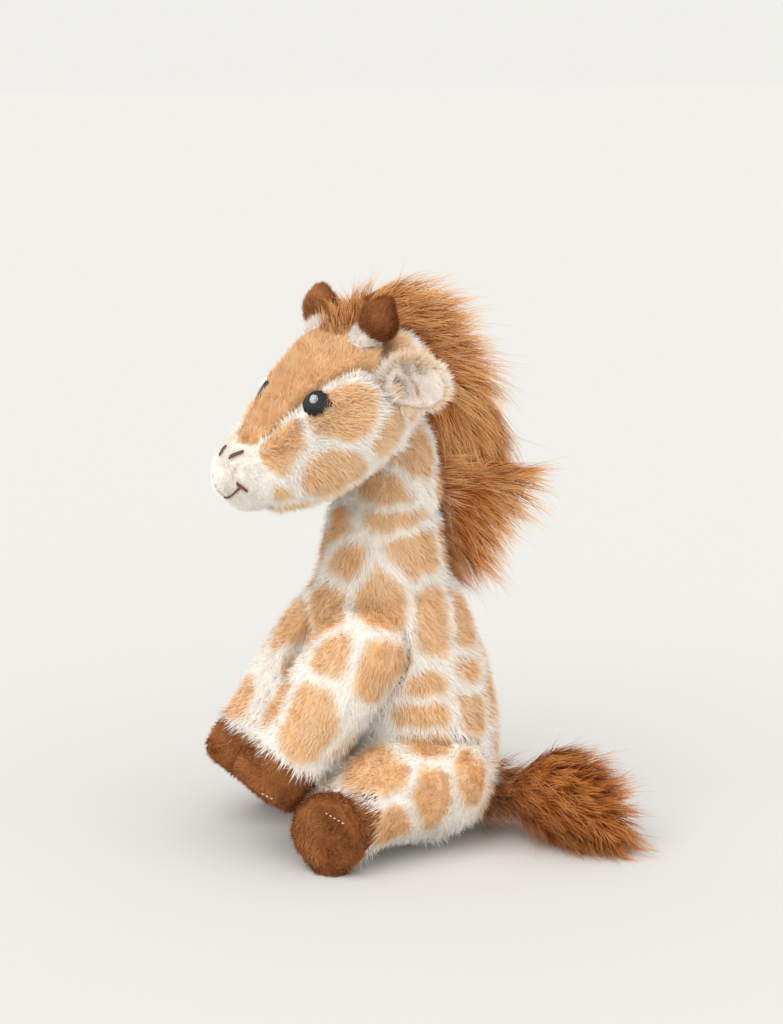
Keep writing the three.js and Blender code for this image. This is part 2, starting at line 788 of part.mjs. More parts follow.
// Mane sections on the head, from between the horns to the nape: place behind the turning point and height
// above it as shares of the head's top, and half depth as a share of the mane's length.
const headManeShares = [
  [-0.56, 0.9, 0],
  [-0.5, 0.96, 0.14],
  [-0.36, 1.02, 0.25],
  [0.04, 1.1, 0.29],
  [0.36, 0.92, 0.32],
  [0.58, 0.45, 0.42],
  [0.7, -0.05, 0.58],
  [0.74, -0.5, 0.64],
  [0.74, -0.6, 0],
];

// Mane sections on the neck: height above the turning point as a share of the neck's rise, then inner and
// outer edge behind it as shares of the mane's length.
const neckManeShares = [
  [0.1, 1, 1],
  [0.06, 0.6, 1.5],
  [-0.1, 0.6, 1.64],
  [-0.37, 0.62, 1.54],
  [-0.56, 0.65, 1.2],
  [-0.74, 0.7, 1.15],
  [-0.84, 0.9, 1.02],
  [-0.86, 0.96, 0.96],
];

function headMane() {
  const last = headManeShares.length - 1;
  const stations = headManeShares.map(([back, rise, deep], i) => ({
    middle: at(0, back * headTop, rise * headTop),
    wide: i === 0 || i === last ? 0 : maneWidth / 2,
    deep: deep * maneLength,
  }));
  const split = beyond(at(0, 0, -maneSplit), zAxis);
  const hair = stuffed(stations, { side: xAxis, sides: 12 }).intersect(split);
  return hair.subtract(headForm(seamGap)).subtract(neckSocket());
}

function neckMane() {
  const last = neckManeShares.length - 1;
  const stations = neckManeShares.map(([rise, inner, outer], i) => ({
    middle: headPivot.clone().add(at(0, ((inner + outer) / 2) * maneLength, rise * neckRise)),
    wide: i === 0 || i === last ? 0 : maneWidth / 2,
    deep: ((outer - inner) / 2) * maneLength,
  }));
  const split = beyond(at(0, 0, headPivot.z - maneSplit - seamGap), down);
  const hair = stuffed(stations, { side: xAxis, depth: yAxis, sides: 12 }).intersect(split);
  return hair.subtract(neckForm(seamGap));
}

// Cuts one leg's form into the plush leg, the hoof sewn to its end, the sole in the hoof and the filling.
function addLeg(name, form, seam, line, hoofLength) {
  const aheadOfSeam = (shift) => beyond(seam.clone().addScaledVector(line, shift), line);
  const solePlace = seam.clone().addScaledVector(line, hoofLength - soleWall);
  const sole = (grow) =>
    turned(
      [[0, -grow], [soleRadius + grow, -grow], [soleRadius + grow, soleWall + grow], [0, soleWall + grow]],
      solePlace,
      line,
      18,
    );
  const cloth = form(0).intersect(above(0)).subtract(form(-plushWall));
  const filling = form(-plushWall - fillingGap);
  piece(name("skin"), cloth.subtract(aheadOfSeam(-seamGap / 2)), colours.spottedPlush);
  piece(name("hoof"), cloth.intersect(aheadOfSeam(seamGap / 2)).subtract(sole(seamGap)), colours.brownPlush);
  piece(name("sole"), sole(0).intersect(form(0)), colours.brownPlush);
  piece(name("stuffing"), filling.subtract(sole(seamGap)), colours.fibre);
}

addTorso();
addNeck();
piece("neck_mane", neckMane(), colours.hair);
addHeadCloth();
piece("head_mane", headMane(), colours.hair, headGroup);
addStitchedFace();
for (const side of [1, -1]) {
  addHorn(side);
  addEar(side);
}
for (const side of [1, -1]) {
  const seam = frontPivot(side).addScaledVector(frontLegLine, frontLegLengths[sideName(side)]);
  const front = (part) => "front_" + part + "_" + sideName(side);
  addLeg(front, (grow) => frontLegForm(side, grow), seam, frontLegLine, frontHoofLength);
}
for (const side of [1, -1]) {
  const { ankle, foot } = hindLegPlaces(side);
  const hind = (part) => "hind_" + part + "_" + sideName(side);
  addLeg(hind, (grow) => hindLegForm(side, grow), ankle, foot, hindHoofLength);
}
piece("tail_stem", tailStem(0).add(ball(tailPivot, tailBallRadius, 14)), colours.spottedPlush);
piece("tail_tuft", tuftForm().intersect(above(0)), colours.hair);

export default group;
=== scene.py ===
"""A sitting plush giraffe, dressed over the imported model. Metres, +Z up, facing -Y."""
import math
import bmesh
import bpy
import numpy as np
from mathutils import Matrix, Vector
from mathutils.bvhtree import BVHTree


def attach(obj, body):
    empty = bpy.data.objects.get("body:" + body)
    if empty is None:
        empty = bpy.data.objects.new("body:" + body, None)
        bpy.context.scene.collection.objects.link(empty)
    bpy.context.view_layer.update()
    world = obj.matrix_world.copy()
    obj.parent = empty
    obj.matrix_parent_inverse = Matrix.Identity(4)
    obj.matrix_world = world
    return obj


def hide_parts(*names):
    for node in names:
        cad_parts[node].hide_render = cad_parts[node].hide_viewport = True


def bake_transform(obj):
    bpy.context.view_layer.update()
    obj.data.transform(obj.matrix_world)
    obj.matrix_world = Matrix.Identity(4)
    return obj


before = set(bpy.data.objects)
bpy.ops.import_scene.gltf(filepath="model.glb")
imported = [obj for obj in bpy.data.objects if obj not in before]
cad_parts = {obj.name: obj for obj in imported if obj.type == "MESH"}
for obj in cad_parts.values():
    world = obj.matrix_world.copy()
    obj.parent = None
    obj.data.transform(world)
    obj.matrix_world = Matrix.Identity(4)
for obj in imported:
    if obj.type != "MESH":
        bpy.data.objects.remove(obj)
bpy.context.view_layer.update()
scene = bpy.context.scene
MM = 0.001

# Studio: a pale sweep of floor, a broad soft light from above and ahead, and a portrait lens.
# The camera stands a metre away on the giraffe's left, a little above it.
CAMERA_DISTANCE = 1.0
CAMERA_AZIMUTH = math.radians(75)
CAMERA_ELEVATION = math.radians(12)
CAMERA_TARGET = Vector((0, -11 * MM, 132 * MM))
LENS = 87.9
FLOOR_SIDE = 14
SKY_LEVEL = 0.82


def paint(red, green, blue):
    """A colour picked in screen values, as the renderer's linear colour."""
    return tuple(((c / 255 + 0.055) / 1.055) ** 2.4 if c > 10 else c / 3294.6
                 for c in (red, green, blue)) + (1,)


BACKDROP = paint(240, 239, 235)
PAPER = paint(214, 213, 209)


def node(tree, kind, **inputs):
    """A shader node with its input sockets set, where a value is not yet another node's output."""
    made = tree.nodes.new(kind)
    for name, value in inputs.items():
        socket = made.inputs[name.replace("_", " ")]
        if isinstance(value, bpy.types.NodeSocket):
            tree.links.new(value, socket)
        else:
            socket.default_value = value
    return made


def worked_out(tree, how, first, second):
    """The output of a math node between two others."""
    made = tree.nodes.new("ShaderNodeMath")
    made.operation = how
    tree.links.new(first, made.inputs[0])
    tree.links.new(second, made.inputs[1])
    return made.outputs["Value"]


def new_material(name):
    """A material with only its output node, and that output's surface socket."""
    finish = bpy.data.materials.new(name)
    finish.use_nodes = True
    finish.node_tree.nodes.clear()
    output = finish.node_tree.nodes.new("ShaderNodeOutputMaterial")
    return finish, finish.node_tree, output.inputs["Surface"]


def aim(thing, direction):
    """Points a lamp or the camera along a direction."""
    thing.rotation_euler = Vector(direction).to_track_quat("-Z", "Y").to_euler()


camera_back = Vector((math.sin(CAMERA_AZIMUTH) * math.cos(CAMERA_ELEVATION),
                      -math.cos(CAMERA_AZIMUTH) * math.cos(CAMERA_ELEVATION),
                      math.sin(CAMERA_ELEVATION)))
camera = bpy.data.objects.new("Camera", bpy.data.cameras.new("Camera"))
camera.data.lens = LENS
camera.location = CAMERA_TARGET + camera_back * CAMERA_DISTANCE
aim(camera, -camera_back)
scene.collection.objects.link(camera)
scene.camera = camera
scene.view_settings.view_transform = "Standard"


def add_sun(name, direction, strength, softness):
    """A broad lamp without falloff, so that the floor is lit alike all over."""
    lamp = bpy.data.lights.new(name, "SUN")
    lamp.energy = strength
    lamp.angle = math.radians(softness)
    holder = bpy.data.objects.new(name, lamp)
    aim(holder, direction)
    scene.collection.objects.link(holder)


add_sun("Key light", (-0.55, 0.75, -1.15), strength=1.5, softness=50)
add_sun("Fill light", (-0.9, -0.35, -0.5), strength=0.8, softness=90)

world = bpy.data.worlds.new("Studio")
world.use_nodes = True
sky = world.node_tree
lit = sky.nodes["Background"]
lit.inputs["Color"].default_value = (1, 1, 1, 1)
lit.inputs["Strength"].default_value = SKY_LEVEL
seen = node(sky, "ShaderNodeBackground", Color=BACKDROP, Strength=1.0)
ray = sky.nodes.new("ShaderNodeLightPath")
direct = worked_out(sky, "MAXIMUM", ray.outputs["Is Camera Ray"], ray.outputs["Is Glossy Ray"])
either = node(sky, "ShaderNodeMixShader", Fac=direct)
sky.links.new(lit.outputs["Background"], either.inputs[1])
sky.links.new(seen.outputs["Background"], either.inputs[2])
sky.links.new(either.outputs["Shader"], sky.nodes["World Output"].inputs["Surface"])
scene.world = world

floor_mesh = bmesh.new()
bmesh.ops.create_grid(floor_mesh, x_segments=1, y_segments=1, size=FLOOR_SIDE / 2)
floor = bpy.data.objects.new("Floor", bpy.data.meshes.new("Floor"))
floor_mesh.to_mesh(floor.data)
floor_mesh.free()
scene.collection.objects.link(floor)
finish, tree, surface = new_material("Pale paper")
paper = node(tree, "ShaderNodeBsdfDiffuse", Color=PAPER)
tree.links.new(paper.outputs["BSDF"], surface)
floor.data.materials.append(finish)

# Torso and neck: panels of cream plush printed with tan spots, sewn right side in, turned and
# stuffed. The neck stands on the torso's shoulders and leans a little, so one cloth bends
# across that joint. The flat seat panel closes the bottom round the bean bag.
SPOT_CHANNEL = 4.8 * MM
SPOT_GROWTH = 3.0 * MM
SPOT_BLUR = 4.4 * MM
SPOT_RIPPLE = 0.5 * MM
SEAM_HALF_WIDTH = 1.6 * MM
CREASE_HALF_WIDTH = 2.6 * MM
SEAM_DEPTH = 0.9 * MM
COVER_REACH = 8 * MM
EDGE_REACH = 5 * MM
FLOOR_CLEARANCE = 0.3 * MM
FLOOR_REACH = 2.4 * MM  # cloth lower than this is pressed flat on the floor
WELD = 0.001 * MM
FAR_SIDE_SHIFT = (0, 7 * MM, 10 * MM)  # the right side is cut from another place of the print
CREAM = (paint(253, 246, 236), paint(255, 253, 249))
TAN = (paint(230, 178, 115), paint(252, 220, 174))

# Spots of the body and legs: middle across, ahead, up, then half width and half height, in mm.
BODY_SPOTS = (
    (17, -6, 157, 9, 10), (19, -17, 145, 9, 6), (7, -36, 128, 8, 6), (21, -15, 132, 11, 4),
    (23, -6, 118, 12, 9), (16, -34, 115, 8, 8), (24, -22, 101, 11, 14), (27, 0, 94, 9, 14),
    (14, -42, 95, 12, 11), (18, 15, 87, 10, 12), (36, -45, 85, 7, 7), (41, -25, 77, 11, 11),
    (26, 16, 71, 8, 8), (35, -8, 68, 8, 4), (31, 15, 56, 8, 9), (36, -7, 56, 10, 5),
    (40, -6, 46, 10, 3), (43, 10, 36, 6, 12), (50, -8, 28, 7, 13), (53, -26, 18, 8, 6),
    (45, -31, 41, 13, 9), (39, -56, 58, 10, 13), (20, 28, 33, 7, 7), (22, 25, 60, 5, 10),
    (8, 14, 142, 7, 9), (8, 14, 120, 7, 9), (6, -38, 78, 8, 8), (8, -37, 56, 8, 9),
    (9, -34, 34, 8, 8), (7, 26, 74, 7, 9), (8, 34, 48, 7, 9), (30, -42, 22, 9, 8),
    (22, -62, 60, 7, 9), (26, -44, 50, 7, 8), (20, -40, 12, 8, 6), (30, 24, 16, 9, 8),
)


def packed_tree(names):
    """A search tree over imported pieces, for the distance to them."""
    pieces = bmesh.new()
    for name in names:
        pieces.from_mesh(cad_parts[name].data)
    tree = BVHTree.FromBMesh(pieces)
    pieces.free()
    return tree


def distances(points, names):
    """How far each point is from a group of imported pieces."""
    tree = packed_tree(names)
    return np.array([tree.find_nearest(Vector(p))[3] for p in points])


def unit(vectors):
    """Each row with length one."""
    return vectors / np.maximum(np.linalg.norm(vectors, axis=-1, keepdims=True), 1e-9)


def smooth_step(value):
    """0 below 0, 1 above 1 and smooth between."""
    t = np.clip(value, 0, 1)
    return t * t * (3 - 2 * t)


def wander(places, long, short, start=0.0):
    """An irregular push to and fro that changes slowly from place to place."""
    return np.sin(places[:, [1, 2, 0]] / long + start) + np.sin(places[:, [2, 0, 1]] / short)


def same(places, value):
    """One number, or one direction, for every place."""
    return np.tile(value, (len(places),) + (1,) * np.ndim(value))


def corners(mesh):
    """A mesh's corners as rows."""
    rows = np.empty(len(mesh.vertices) * 3)
    mesh.vertices.foreach_get("co", rows)
    return rows.reshape(-1, 3)


def corner_normals(mesh):
    """A mesh's corner normals as rows."""
    rows = np.empty(len(mesh.vertices) * 3)
    mesh.vertex_normals.foreach_get("vector", rows)
    return rows.reshape(-1, 3)


def move_corners(mesh, places):
    """Puts a mesh's corners at new places."""
    mesh.vertices.foreach_set("co", places.ravel())
    mesh.update()


def apply_modifiers(piece):
    """Makes what a piece's modifiers show its own mesh."""
    view = bpy.context.evaluated_depsgraph_get()
    mesh = bpy.data.meshes.new_from_object(piece.evaluated_get(view))
    piece.modifiers.clear()
    piece.data = mesh
    mesh.name = piece.name


def largest_shell(mesh):
    """Keeps the outermost closed surface and deletes what is sealed inside it."""
    whole = bmesh.new()
    whole.from_mesh(mesh)
    left = set(whole.verts)
    shells = []
    while left:
        front = [left.pop()]
        shell = set(front)
        while front:
            for edge in front.pop().link_edges:
                for vert in edge.verts:
                    if vert in left:
                        left.remove(vert)
                        shell.add(vert)
                        front.append(vert)
        shells.append(shell)
    outer = max(shells, key=len)
    bmesh.ops.delete(whole, geom=[v for v in whole.verts if v not in outer], context="VERTS")
    bmesh.ops.recalc_face_normals(whole, faces=whole.faces)
    whole.to_mesh(mesh)
    whole.free()


def stuffed_skin(name, names, grain, passes, inset, near=(), fillers=()):
    """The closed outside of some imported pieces, softened, and drawn in to leave room for the pile
    except beside its neighbours, where the two cloths press together."""
    cloth = bmesh.new()
    for part in names:
        cloth.from_mesh(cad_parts[part].data)
    bmesh.ops.remove_doubles(cloth, verts=cloth.verts, dist=WELD)
    for place, radii in fillers:
        size = Matrix.Diagonal((*[r * MM for r in radii], 1))
        spot = Matrix.Translation([c * MM for c in place])
        bmesh.ops.create_icosphere(cloth, subdivisions=5, radius=1, matrix=spot @ size)
    piece = bpy.data.objects.new(name, bpy.data.meshes.new(name))
    cloth.to_mesh(piece.data)
    cloth.free()
    scene.collection.objects.link(piece)
    weld = piece.modifiers.new("One cloth", "REMESH")
    weld.mode = "VOXEL"
    weld.voxel_size = grain
    apply_modifiers(piece)
    largest_shell(piece.data)
    soften = piece.modifiers.new("Stuffed", "SMOOTH")
    soften.factor = 0.5
    soften.iterations = passes
    apply_modifiers(piece)
    places = corners(piece.data)
    drawn_in = same(places, inset)
    if near:
        drawn_in = inset * smooth_step(distances(places, near) / EDGE_REACH)
    places -= corner_normals(piece.data) * drawn_in[:, None]
    places[:, 2] = np.where(places[:, 2] < FLOOR_REACH, FLOOR_CLEARANCE, places[:, 2])
    move_corners(piece.data, places)
    return piece


def pull_seams(piece, groups, depths):
    """Draws the cloth in along the seams, where two panels are equally near, by the mean of their
    depths. Returns how far each corner is from each panel, one column a panel."""
    places = corners(piece.data)
    reach = np.stack([distances(places, names) for names in groups], axis=1)
    ordered, order = np.sort(reach, axis=1), np.argsort(reach, axis=1)
    crease = 1 - smooth_step((ordered[:, 1] - ordered[:, 0]) / CREASE_HALF_WIDTH)
    depth = np.array(depths)[order[:, :2]].mean(axis=1)
    places -= corner_normals(piece.data) * (crease * depth)[:, None]
    move_corners(piece.data, places)
    return reach


def spot_mask(points, spots):
    """1 inside a printed spot and 0 in the cream channels between, with soft uneven edges."""
    seeds = np.array(spots) * MM
    far = points[:, :1] < 0
    folded = np.where(far, -1, 1) * points[:, :1]
    print_place = np.concatenate([folded, points[:, 1:]], axis=1) + far * np.array(FAR_SIDE_SHIFT)
    print_place = print_place + wander(print_place, 3.1 * MM, 1.7 * MM) * SPOT_RIPPLE
    flat = np.linalg.norm(print_place[:, None, :2] - seeds[None, :, :2], axis=2) / seeds[:, 3]
    rise = (print_place[:, None, 2] - seeds[None, :, 2]) / seeds[:, 4]
    outside = (np.hypot(flat, rise) - 1) * seeds[:, 3:5].mean(axis=1)
    two = np.partition(outside, 1, axis=1)[:, :2]
    room = np.minimum(SPOT_GROWTH - two[:, 0], (two[:, 1] - two[:, 0] - SPOT_CHANNEL) / 2)
    cloud = np.sin(print_place @ (410, 330, 370)) * np.sin(print_place @ (-290, 350, 260) + 0.7)
    return smooth_step(room / SPOT_BLUR + 0.5) * (0.89 + 0.11 * cloud)


def set_number(mesh, name, values):
    """Stores one number for each corner, for the material to read."""
    mesh.attributes.new(name, "FLOAT", "POINT").data.foreach_set("value", values.astype(np.float32))


def read(tree, attribute):
    """The output that carries a number stored on the mesh."""
    made = tree.nodes.new("ShaderNodeAttribute")
    made.attribute_name = attribute
    return made.outputs["Fac"]


def blend_colours(tree, share, first, second, how="MIX"):
    """The output of a mix of two colours or outputs."""
    mix = tree.nodes.new("ShaderNodeMix")
    mix.data_type = "RGBA"
    mix.blend_type = how
    for socket, value in ((mix.inputs[0], share), (mix.inputs[6], first), (mix.inputs[7], second)):
        if isinstance(value, bpy.types.NodeSocket):
            tree.links.new(value, socket)
        else:
            socket.default_value = value
    return mix.outputs[2]


def plush(name, cream, tan, roughness=0.9, sheen=0.05):
    """Pile fabric: darker at its roots, paler at its tips, tan where the print's spots are."""
    finish, tree, surface = new_material(name)
    along = read(tree, "along")
    pale = blend_colours(tree, along, *cream)
    warm = blend_colours(tree, along, *tan)
    colour = blend_colours(tree, read(tree, "spot"), pale, warm)
    place = tree.nodes.new("ShaderNodeTexCoord").outputs["Object"]
    cloudy = node(tree, "ShaderNodeTexNoise", Vector=place, Scale=90.0, Detail=3.0)
    drift = node(tree, "ShaderNodeMapRange", Value=cloudy.outputs["Fac"], To_Min=0.93, To_Max=1.07)
    # The shade number varies at random from fibre to fibre, and is lowered where painted seam shadow lies.
    shade = node(tree, "ShaderNodeMapRange", Value=read(tree, "shade"), To_Min=0.92, To_Max=1.06)
    shade.clamp = False
    both = worked_out(tree, "MULTIPLY", drift.outputs["Result"], shade.outputs["Result"])
    colour = blend_colours(tree, 1.0, colour, both, "MULTIPLY")
    fibres = node(tree, "ShaderNodeTexNoise", Vector=place, Scale=1400.0, Detail=2.0)
    nap = node(tree, "ShaderNodeBump", Height=fibres.outputs["Fac"], Strength=0.5, Distance=0.0004)
    cloth = node(tree, "ShaderNodeBsdfPrincipled", Base_Color=colour, Roughness=roughness,
                 Sheen_Weight=sheen, Sheen_Roughness=0.5, Specular_IOR_Level=0.0,
                 Normal=nap.outputs["Normal"])
    tree.links.new(cloth.outputs["BSDF"], surface)
    return finish


FIBRE_FLATNESS = 0.5
FIBRE_TILT = np.array([1e-4, 2e-4, 3e-4])  # so that a fibre along its normal still has a side


def strand_template(segments, slenderness):
    """One closed fibre of unit height and unit root radius, as rows of corners and of triangles."""
    fibre = bmesh.new()
    bmesh.ops.create_cone(fibre, cap_ends=True, segments=3, radius1=1, radius2=slenderness, depth=1,
                          matrix=Matrix.Translation((0, 0, 0.5)))
    for cut in range(1, segments):
        bmesh.ops.bisect_plane(fibre, geom=fibre.verts[:] + fibre.edges[:] + fibre.faces[:],
                               plane_co=(0, 0, cut / segments), plane_no=(0, 0, 1))
    bmesh.ops.remove_doubles(fibre, verts=fibre.verts, dist=1e-4)
    bmesh.ops.triangulate(fibre, faces=fibre.faces)
    fibre.verts.index_update()
    places = np.array([v.co[:] for v in fibre.verts]) * (1, FIBRE_FLATNESS, 1)
    faces = np.array([[v.index for v in f.verts] for f in fibre.faces])
    fibre.free()
    return places, faces


def scatter(skin, count, draw):
    """Points spread evenly over a mesh: which triangle each is in, and its three corner shares."""
    skin.calc_loop_triangles()
    faces = np.empty(len(skin.loop_triangles) * 3, int)
    skin.loop_triangles.foreach_get("vertices", faces)
    faces = faces.reshape(-1, 3)
    area = np.empty(len(faces))
    skin.loop_triangles.foreach_get("area", area)
    chosen = faces[draw.choice(len(faces), count, p=area / area.sum())]
    first, second = draw.random((2, count))
    over = first + second > 1
    first, second = np.where(over, 1 - first, first), np.where(over, 1 - second, second)
    return chosen, np.stack([1 - first - second, first, second], axis=1)


def spread(values, chosen, shares):
    """A corner value worked out at scattered points."""
    picked = values[chosen]
    if picked.ndim == 3:
        return (picked * shares[..., None]).sum(axis=1)
    return (picked * shares).sum(axis=1)


def fibres_mesh(name, paths, normals, radii, numbers, template, finish):
    """Many closed fibres in one mesh. paths gives each fibre's middle line as equally spaced
    points. Each fibre has a cell of its own on the map named OFBake."""
    shape, faces = template
    count, steps = len(paths), paths.shape[1] - 1
    level = np.rint(shape[:, 2] * steps).astype(int)
    run = unit(paths[:, -1] - paths[:, 0])
    across = unit(np.cross(run, normals + FIBRE_TILT))
    side = np.cross(run, across)
    section = shape[None, :, :1] * across[:, None] + shape[None, :, 1:2] * side[:, None]
    places = paths[:, level] + section * radii[:, None, None]
    every = (faces[None] + (np.arange(count) * len(shape))[:, None, None]).reshape(-1, 3)
    mesh = bpy.data.meshes.new(name)
    mesh.from_pydata(places.reshape(-1, 3), [], every)
    set_number(mesh, "along", np.tile(shape[:, 2], count))
    for label, values in numbers.items():
        set_number(mesh, label, np.repeat(values, len(shape)))
    grid = math.ceil(math.sqrt(count))
    cell = np.stack([np.arange(count) % grid, np.arange(count) // grid], axis=1)
    inside = np.stack([0.5 + 0.4 * shape[:, 0], 0.1 + 0.8 * shape[:, 2]], axis=1)
    sheet = ((cell[:, None] + inside[None]) / grid).reshape(-1, 2)
    mesh.uv_layers.new(name="OFBake").data.foreach_set("uv", sheet[every.ravel()].ravel())
    mesh.materials.append(finish)
    piece = bpy.data.objects.new(name, mesh)
    scene.collection.objects.link(piece)
    return piece


PILE = strand_template(1, 0)
PILE_LIFT = 0.6
PILE_LEAN = 0.75
PILE_SWIRL = 0.11
PILE_MUSS = 0.19
PILE_LENGTHS = (0.6, 1.2)
ROOT_DEPTH = 0.3 * MM
PRINT_HEIGHT = 0.75
# How much a seam's shadow darkens the fibres: painted shade.
SEAM_SHADOW = 2.6
FREE_ENOUGH = 0.35
CLOTH_TONE = 0.25  # the bare cloth has the colour of the fibres a quarter of the way up
skin_reach = {}  # how far each corner of a skin is from each of its panels, by the skin's name


def pile(name, skin, count, seed, look, clearance, finish, ruffle=1.0, spare=None, bridge=0.2):
    """Short fur over a skin. look(places, normals, reach) gives each fibre's direction, length,
    radius, print, whether it is kept and how far it lies in a seam's shadow. The print is read
    near the tips, where it was laid on. spare(places) is true on the embroidery. bridge makes the
    fibres longer where another piece is close."""
    draw = np.random.default_rng(seed)
    chosen, shares = scatter(skin.data, count, draw)
    places = spread(corners(skin.data), chosen, shares)
    normals = unit(spread(corner_normals(skin.data), chosen, shares))
    room, free = spread(clearance, chosen, shares).T
    reach = spread(skin_reach[skin.name], chosen, shares)
    way, length, radius, printed, keep, shadow = look(places, normals, reach)
    edge = 1 - smooth_step(room / EDGE_REACH)
    way = unit(way - normals * (way * normals).sum(axis=1, keepdims=True))
    swirl = wander(places, 1.3 * MM, 0.7 * MM, 1.7)
    line = unit(normals * (PILE_LIFT + 0.5 * edge)[:, None] + way * PILE_LEAN + ruffle * (
        PILE_SWIRL * swirl + PILE_MUSS * draw.standard_normal(places.shape)))
    length = length * draw.uniform(*PILE_LENGTHS, count) * (1 + bridge * edge)
    tips = places + line * length[:, None]
    tips[:, 2] = np.maximum(tips[:, 2], FLOOR_CLEARANCE)
    roots = places - normals * ROOT_DEPTH
    spot = printed
    if callable(printed):
        spot = printed(roots * (1 - PRINT_HEIGHT) + tips * PRINT_HEIGHT)
    keep = keep & (free > FREE_ENOUGH)
    if spare:
        keep = keep & ~spare(places) & ~spare(tips) & ~spare((places + tips) / 2)
    # Painted shade: the seam's shadow is taken off the random shade number, which darkens the fibres there.
    numbers = {"spot": spot[keep], "shade": (draw.random(count) - shadow * SEAM_SHADOW)[keep]}
    return fibres_mesh(name, np.stack([roots, tips], axis=1)[keep], normals[keep], radius[keep],
                       numbers, PILE, finish)


def clear_of(skin, names):
    """How far each corner of a skin is from the pieces next to it, and whether any way out of the
    cloth is free of them."""
    places, outward = corners(skin.data), corner_normals(skin.data)
    free = np.ones(len(places))
    tree = packed_tree(names)
    room = np.array([tree.find_nearest(Vector(p))[3] for p in places])
    for index in np.flatnonzero(room < COVER_REACH):
        place, ahead = Vector(places[index]), Vector(outward[index])
        aside = ahead.orthogonal().normalized()
        turns = (aside, -aside, ahead.cross(aside), aside.cross(ahead))
        ways = [ahead] + [ahead + turn * 0.8 for turn in turns]
        hits = [tree.ray_cast(place + ahead * 0.05 * MM, way, COVER_REACH)[0] for way in ways]
        free[index] = any(hit is None for hit in hits)
    return np.stack([room, free], axis=1)


def dress_skin(skin, spots, finish):
    """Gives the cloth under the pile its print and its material."""
    count = len(skin.data.vertices)
    set_number(skin.data, "along", np.full(count, CLOTH_TONE))
    set_number(skin.data, "shade", np.full(count, 0.5))
    set_number(skin.data, "spot", np.broadcast_to(spots, count))
    skin.data.shade_smooth()
    skin.data.materials.clear()
    skin.data.materials.append(finish)


SPOTTED = plush("Spotted plush", CREAM, TAN)
FUR_RADIUS = 0.22 * MM
SEAM_FUR = 3.2  # mm in a seam
OPEN_FUR = 1.4  # mm more away from it
SEAT_HEIGHT = 3 * MM  # below it the cloth lies on the floor and shows no fur
BODY_PANELS = (["torso_panel_left", "neck_panel_left"], ["torso_panel_right", "neck_panel_right"],
               ["seat_panel"])
BODY_FIBRES = 102000
BODY_BATCHES = 3
LIMBS = [f"{part}_{side}" for side in ("left", "right")
         for part in ("front_skin", "front_hoof", "hind_skin", "hind_hoof", "head_side")]
BODY_NEIGHBOURS = LIMBS + ["tail_stem", "forehead_gusset", "chin_panel"]
NECK_FOOT = ((0, -14.5, 100), (27.5, 30, 12))  # closes the groove under the neck: middle, radii, mm

body_skin = stuffed_skin(
    "body_cloth",
    ["torso_panel_left", "torso_panel_right", "seat_panel", "torso_stuffing", "neck_panel_left",
     "neck_panel_right", "neck_stuffing"],
    grain=1.6 * MM, passes=6, inset=1.3 * MM, near=LIMBS + ["neck_mane", "head_mane"], fillers=[NECK_FOOT])
skin_reach["body_cloth"] = pull_seams(body_skin, BODY_PANELS, [SEAM_DEPTH] * len(BODY_PANELS))
dress_skin(body_skin, spot_mask(corners(body_skin.data), BODY_SPOTS), SPOTTED)


def body_print(places):
    """The print of the body and the legs."""
    return spot_mask(places, BODY_SPOTS)


def off_seam(reach):
    """0 in the seam between the two nearest panels, and 1 well away from it."""
    ordered = np.sort(reach, axis=1)
    return smooth_step((ordered[:, 1] - ordered[:, 0]) / SEAM_HALF_WIDTH)


def body_look(places, normals, reach):
    """Fur of the torso and neck: it lies downwards and a little back, and is short in the seams."""
    length = (SEAM_FUR + OPEN_FUR * off_seam(reach)) * MM
    off_floor = places[:, 2] > SEAT_HEIGHT
    return same(places, [0, 0.25, -1.0]), length, same(places, FUR_RADIUS), body_print, off_floor, 0.0


body_clear = clear_of(body_skin, BODY_NEIGHBOURS)
for batch in range(BODY_BATCHES):
    fur = pile(f"body_pile_{batch + 1}", body_skin, BODY_FIBRES // BODY_BATCHES, 11 + batch, body_look,
               body_clear, SPOTTED, bridge=0.7)
    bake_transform(fur)
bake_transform(body_skin)
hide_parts("torso_panel_left", "torso_panel_right", "seat_panel", "torso_stuffing",
            "neck_panel_left", "neck_panel_right", "neck_stuffing")

# Bean bag: a small closed bag of beans inside the seat, of plain woven cotton. It lies loose on
# the seat panel under the stuffing, and its weight makes the giraffe sit.
finish, tree, surface = new_material("Bean bag cotton")
place = tree.nodes.new("ShaderNodeTexCoord").outputs["Object"]
weave = node(tree, "ShaderNodeTexWave", Vector=place, Scale=500.0, Distortion=1.0)
weft = node(tree, "ShaderNodeTexWave", Vector=place, Scale=500.0, Distortion=1.0)
weft.bands_direction = "Y"
cross = worked_out(tree, "MULTIPLY", weave.outputs["Fac"], weft.outputs["Fac"])
tone = blend_colours(tree, cross, paint(206, 198, 184), paint(238, 232, 220))
relief = node(tree, "ShaderNodeBump", Height=cross, Strength=0.4, Distance=0.0002)
cotton = node(tree, "ShaderNodeBsdfPrincipled", Base_Color=tone, Roughness=0.9,
              Normal=relief.outputs["Normal"])
tree.links.new(cotton.outputs["BSDF"], surface)
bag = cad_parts["seat_bean_bag"]
bag.data.materials.clear()
bag.data.materials.append(finish)

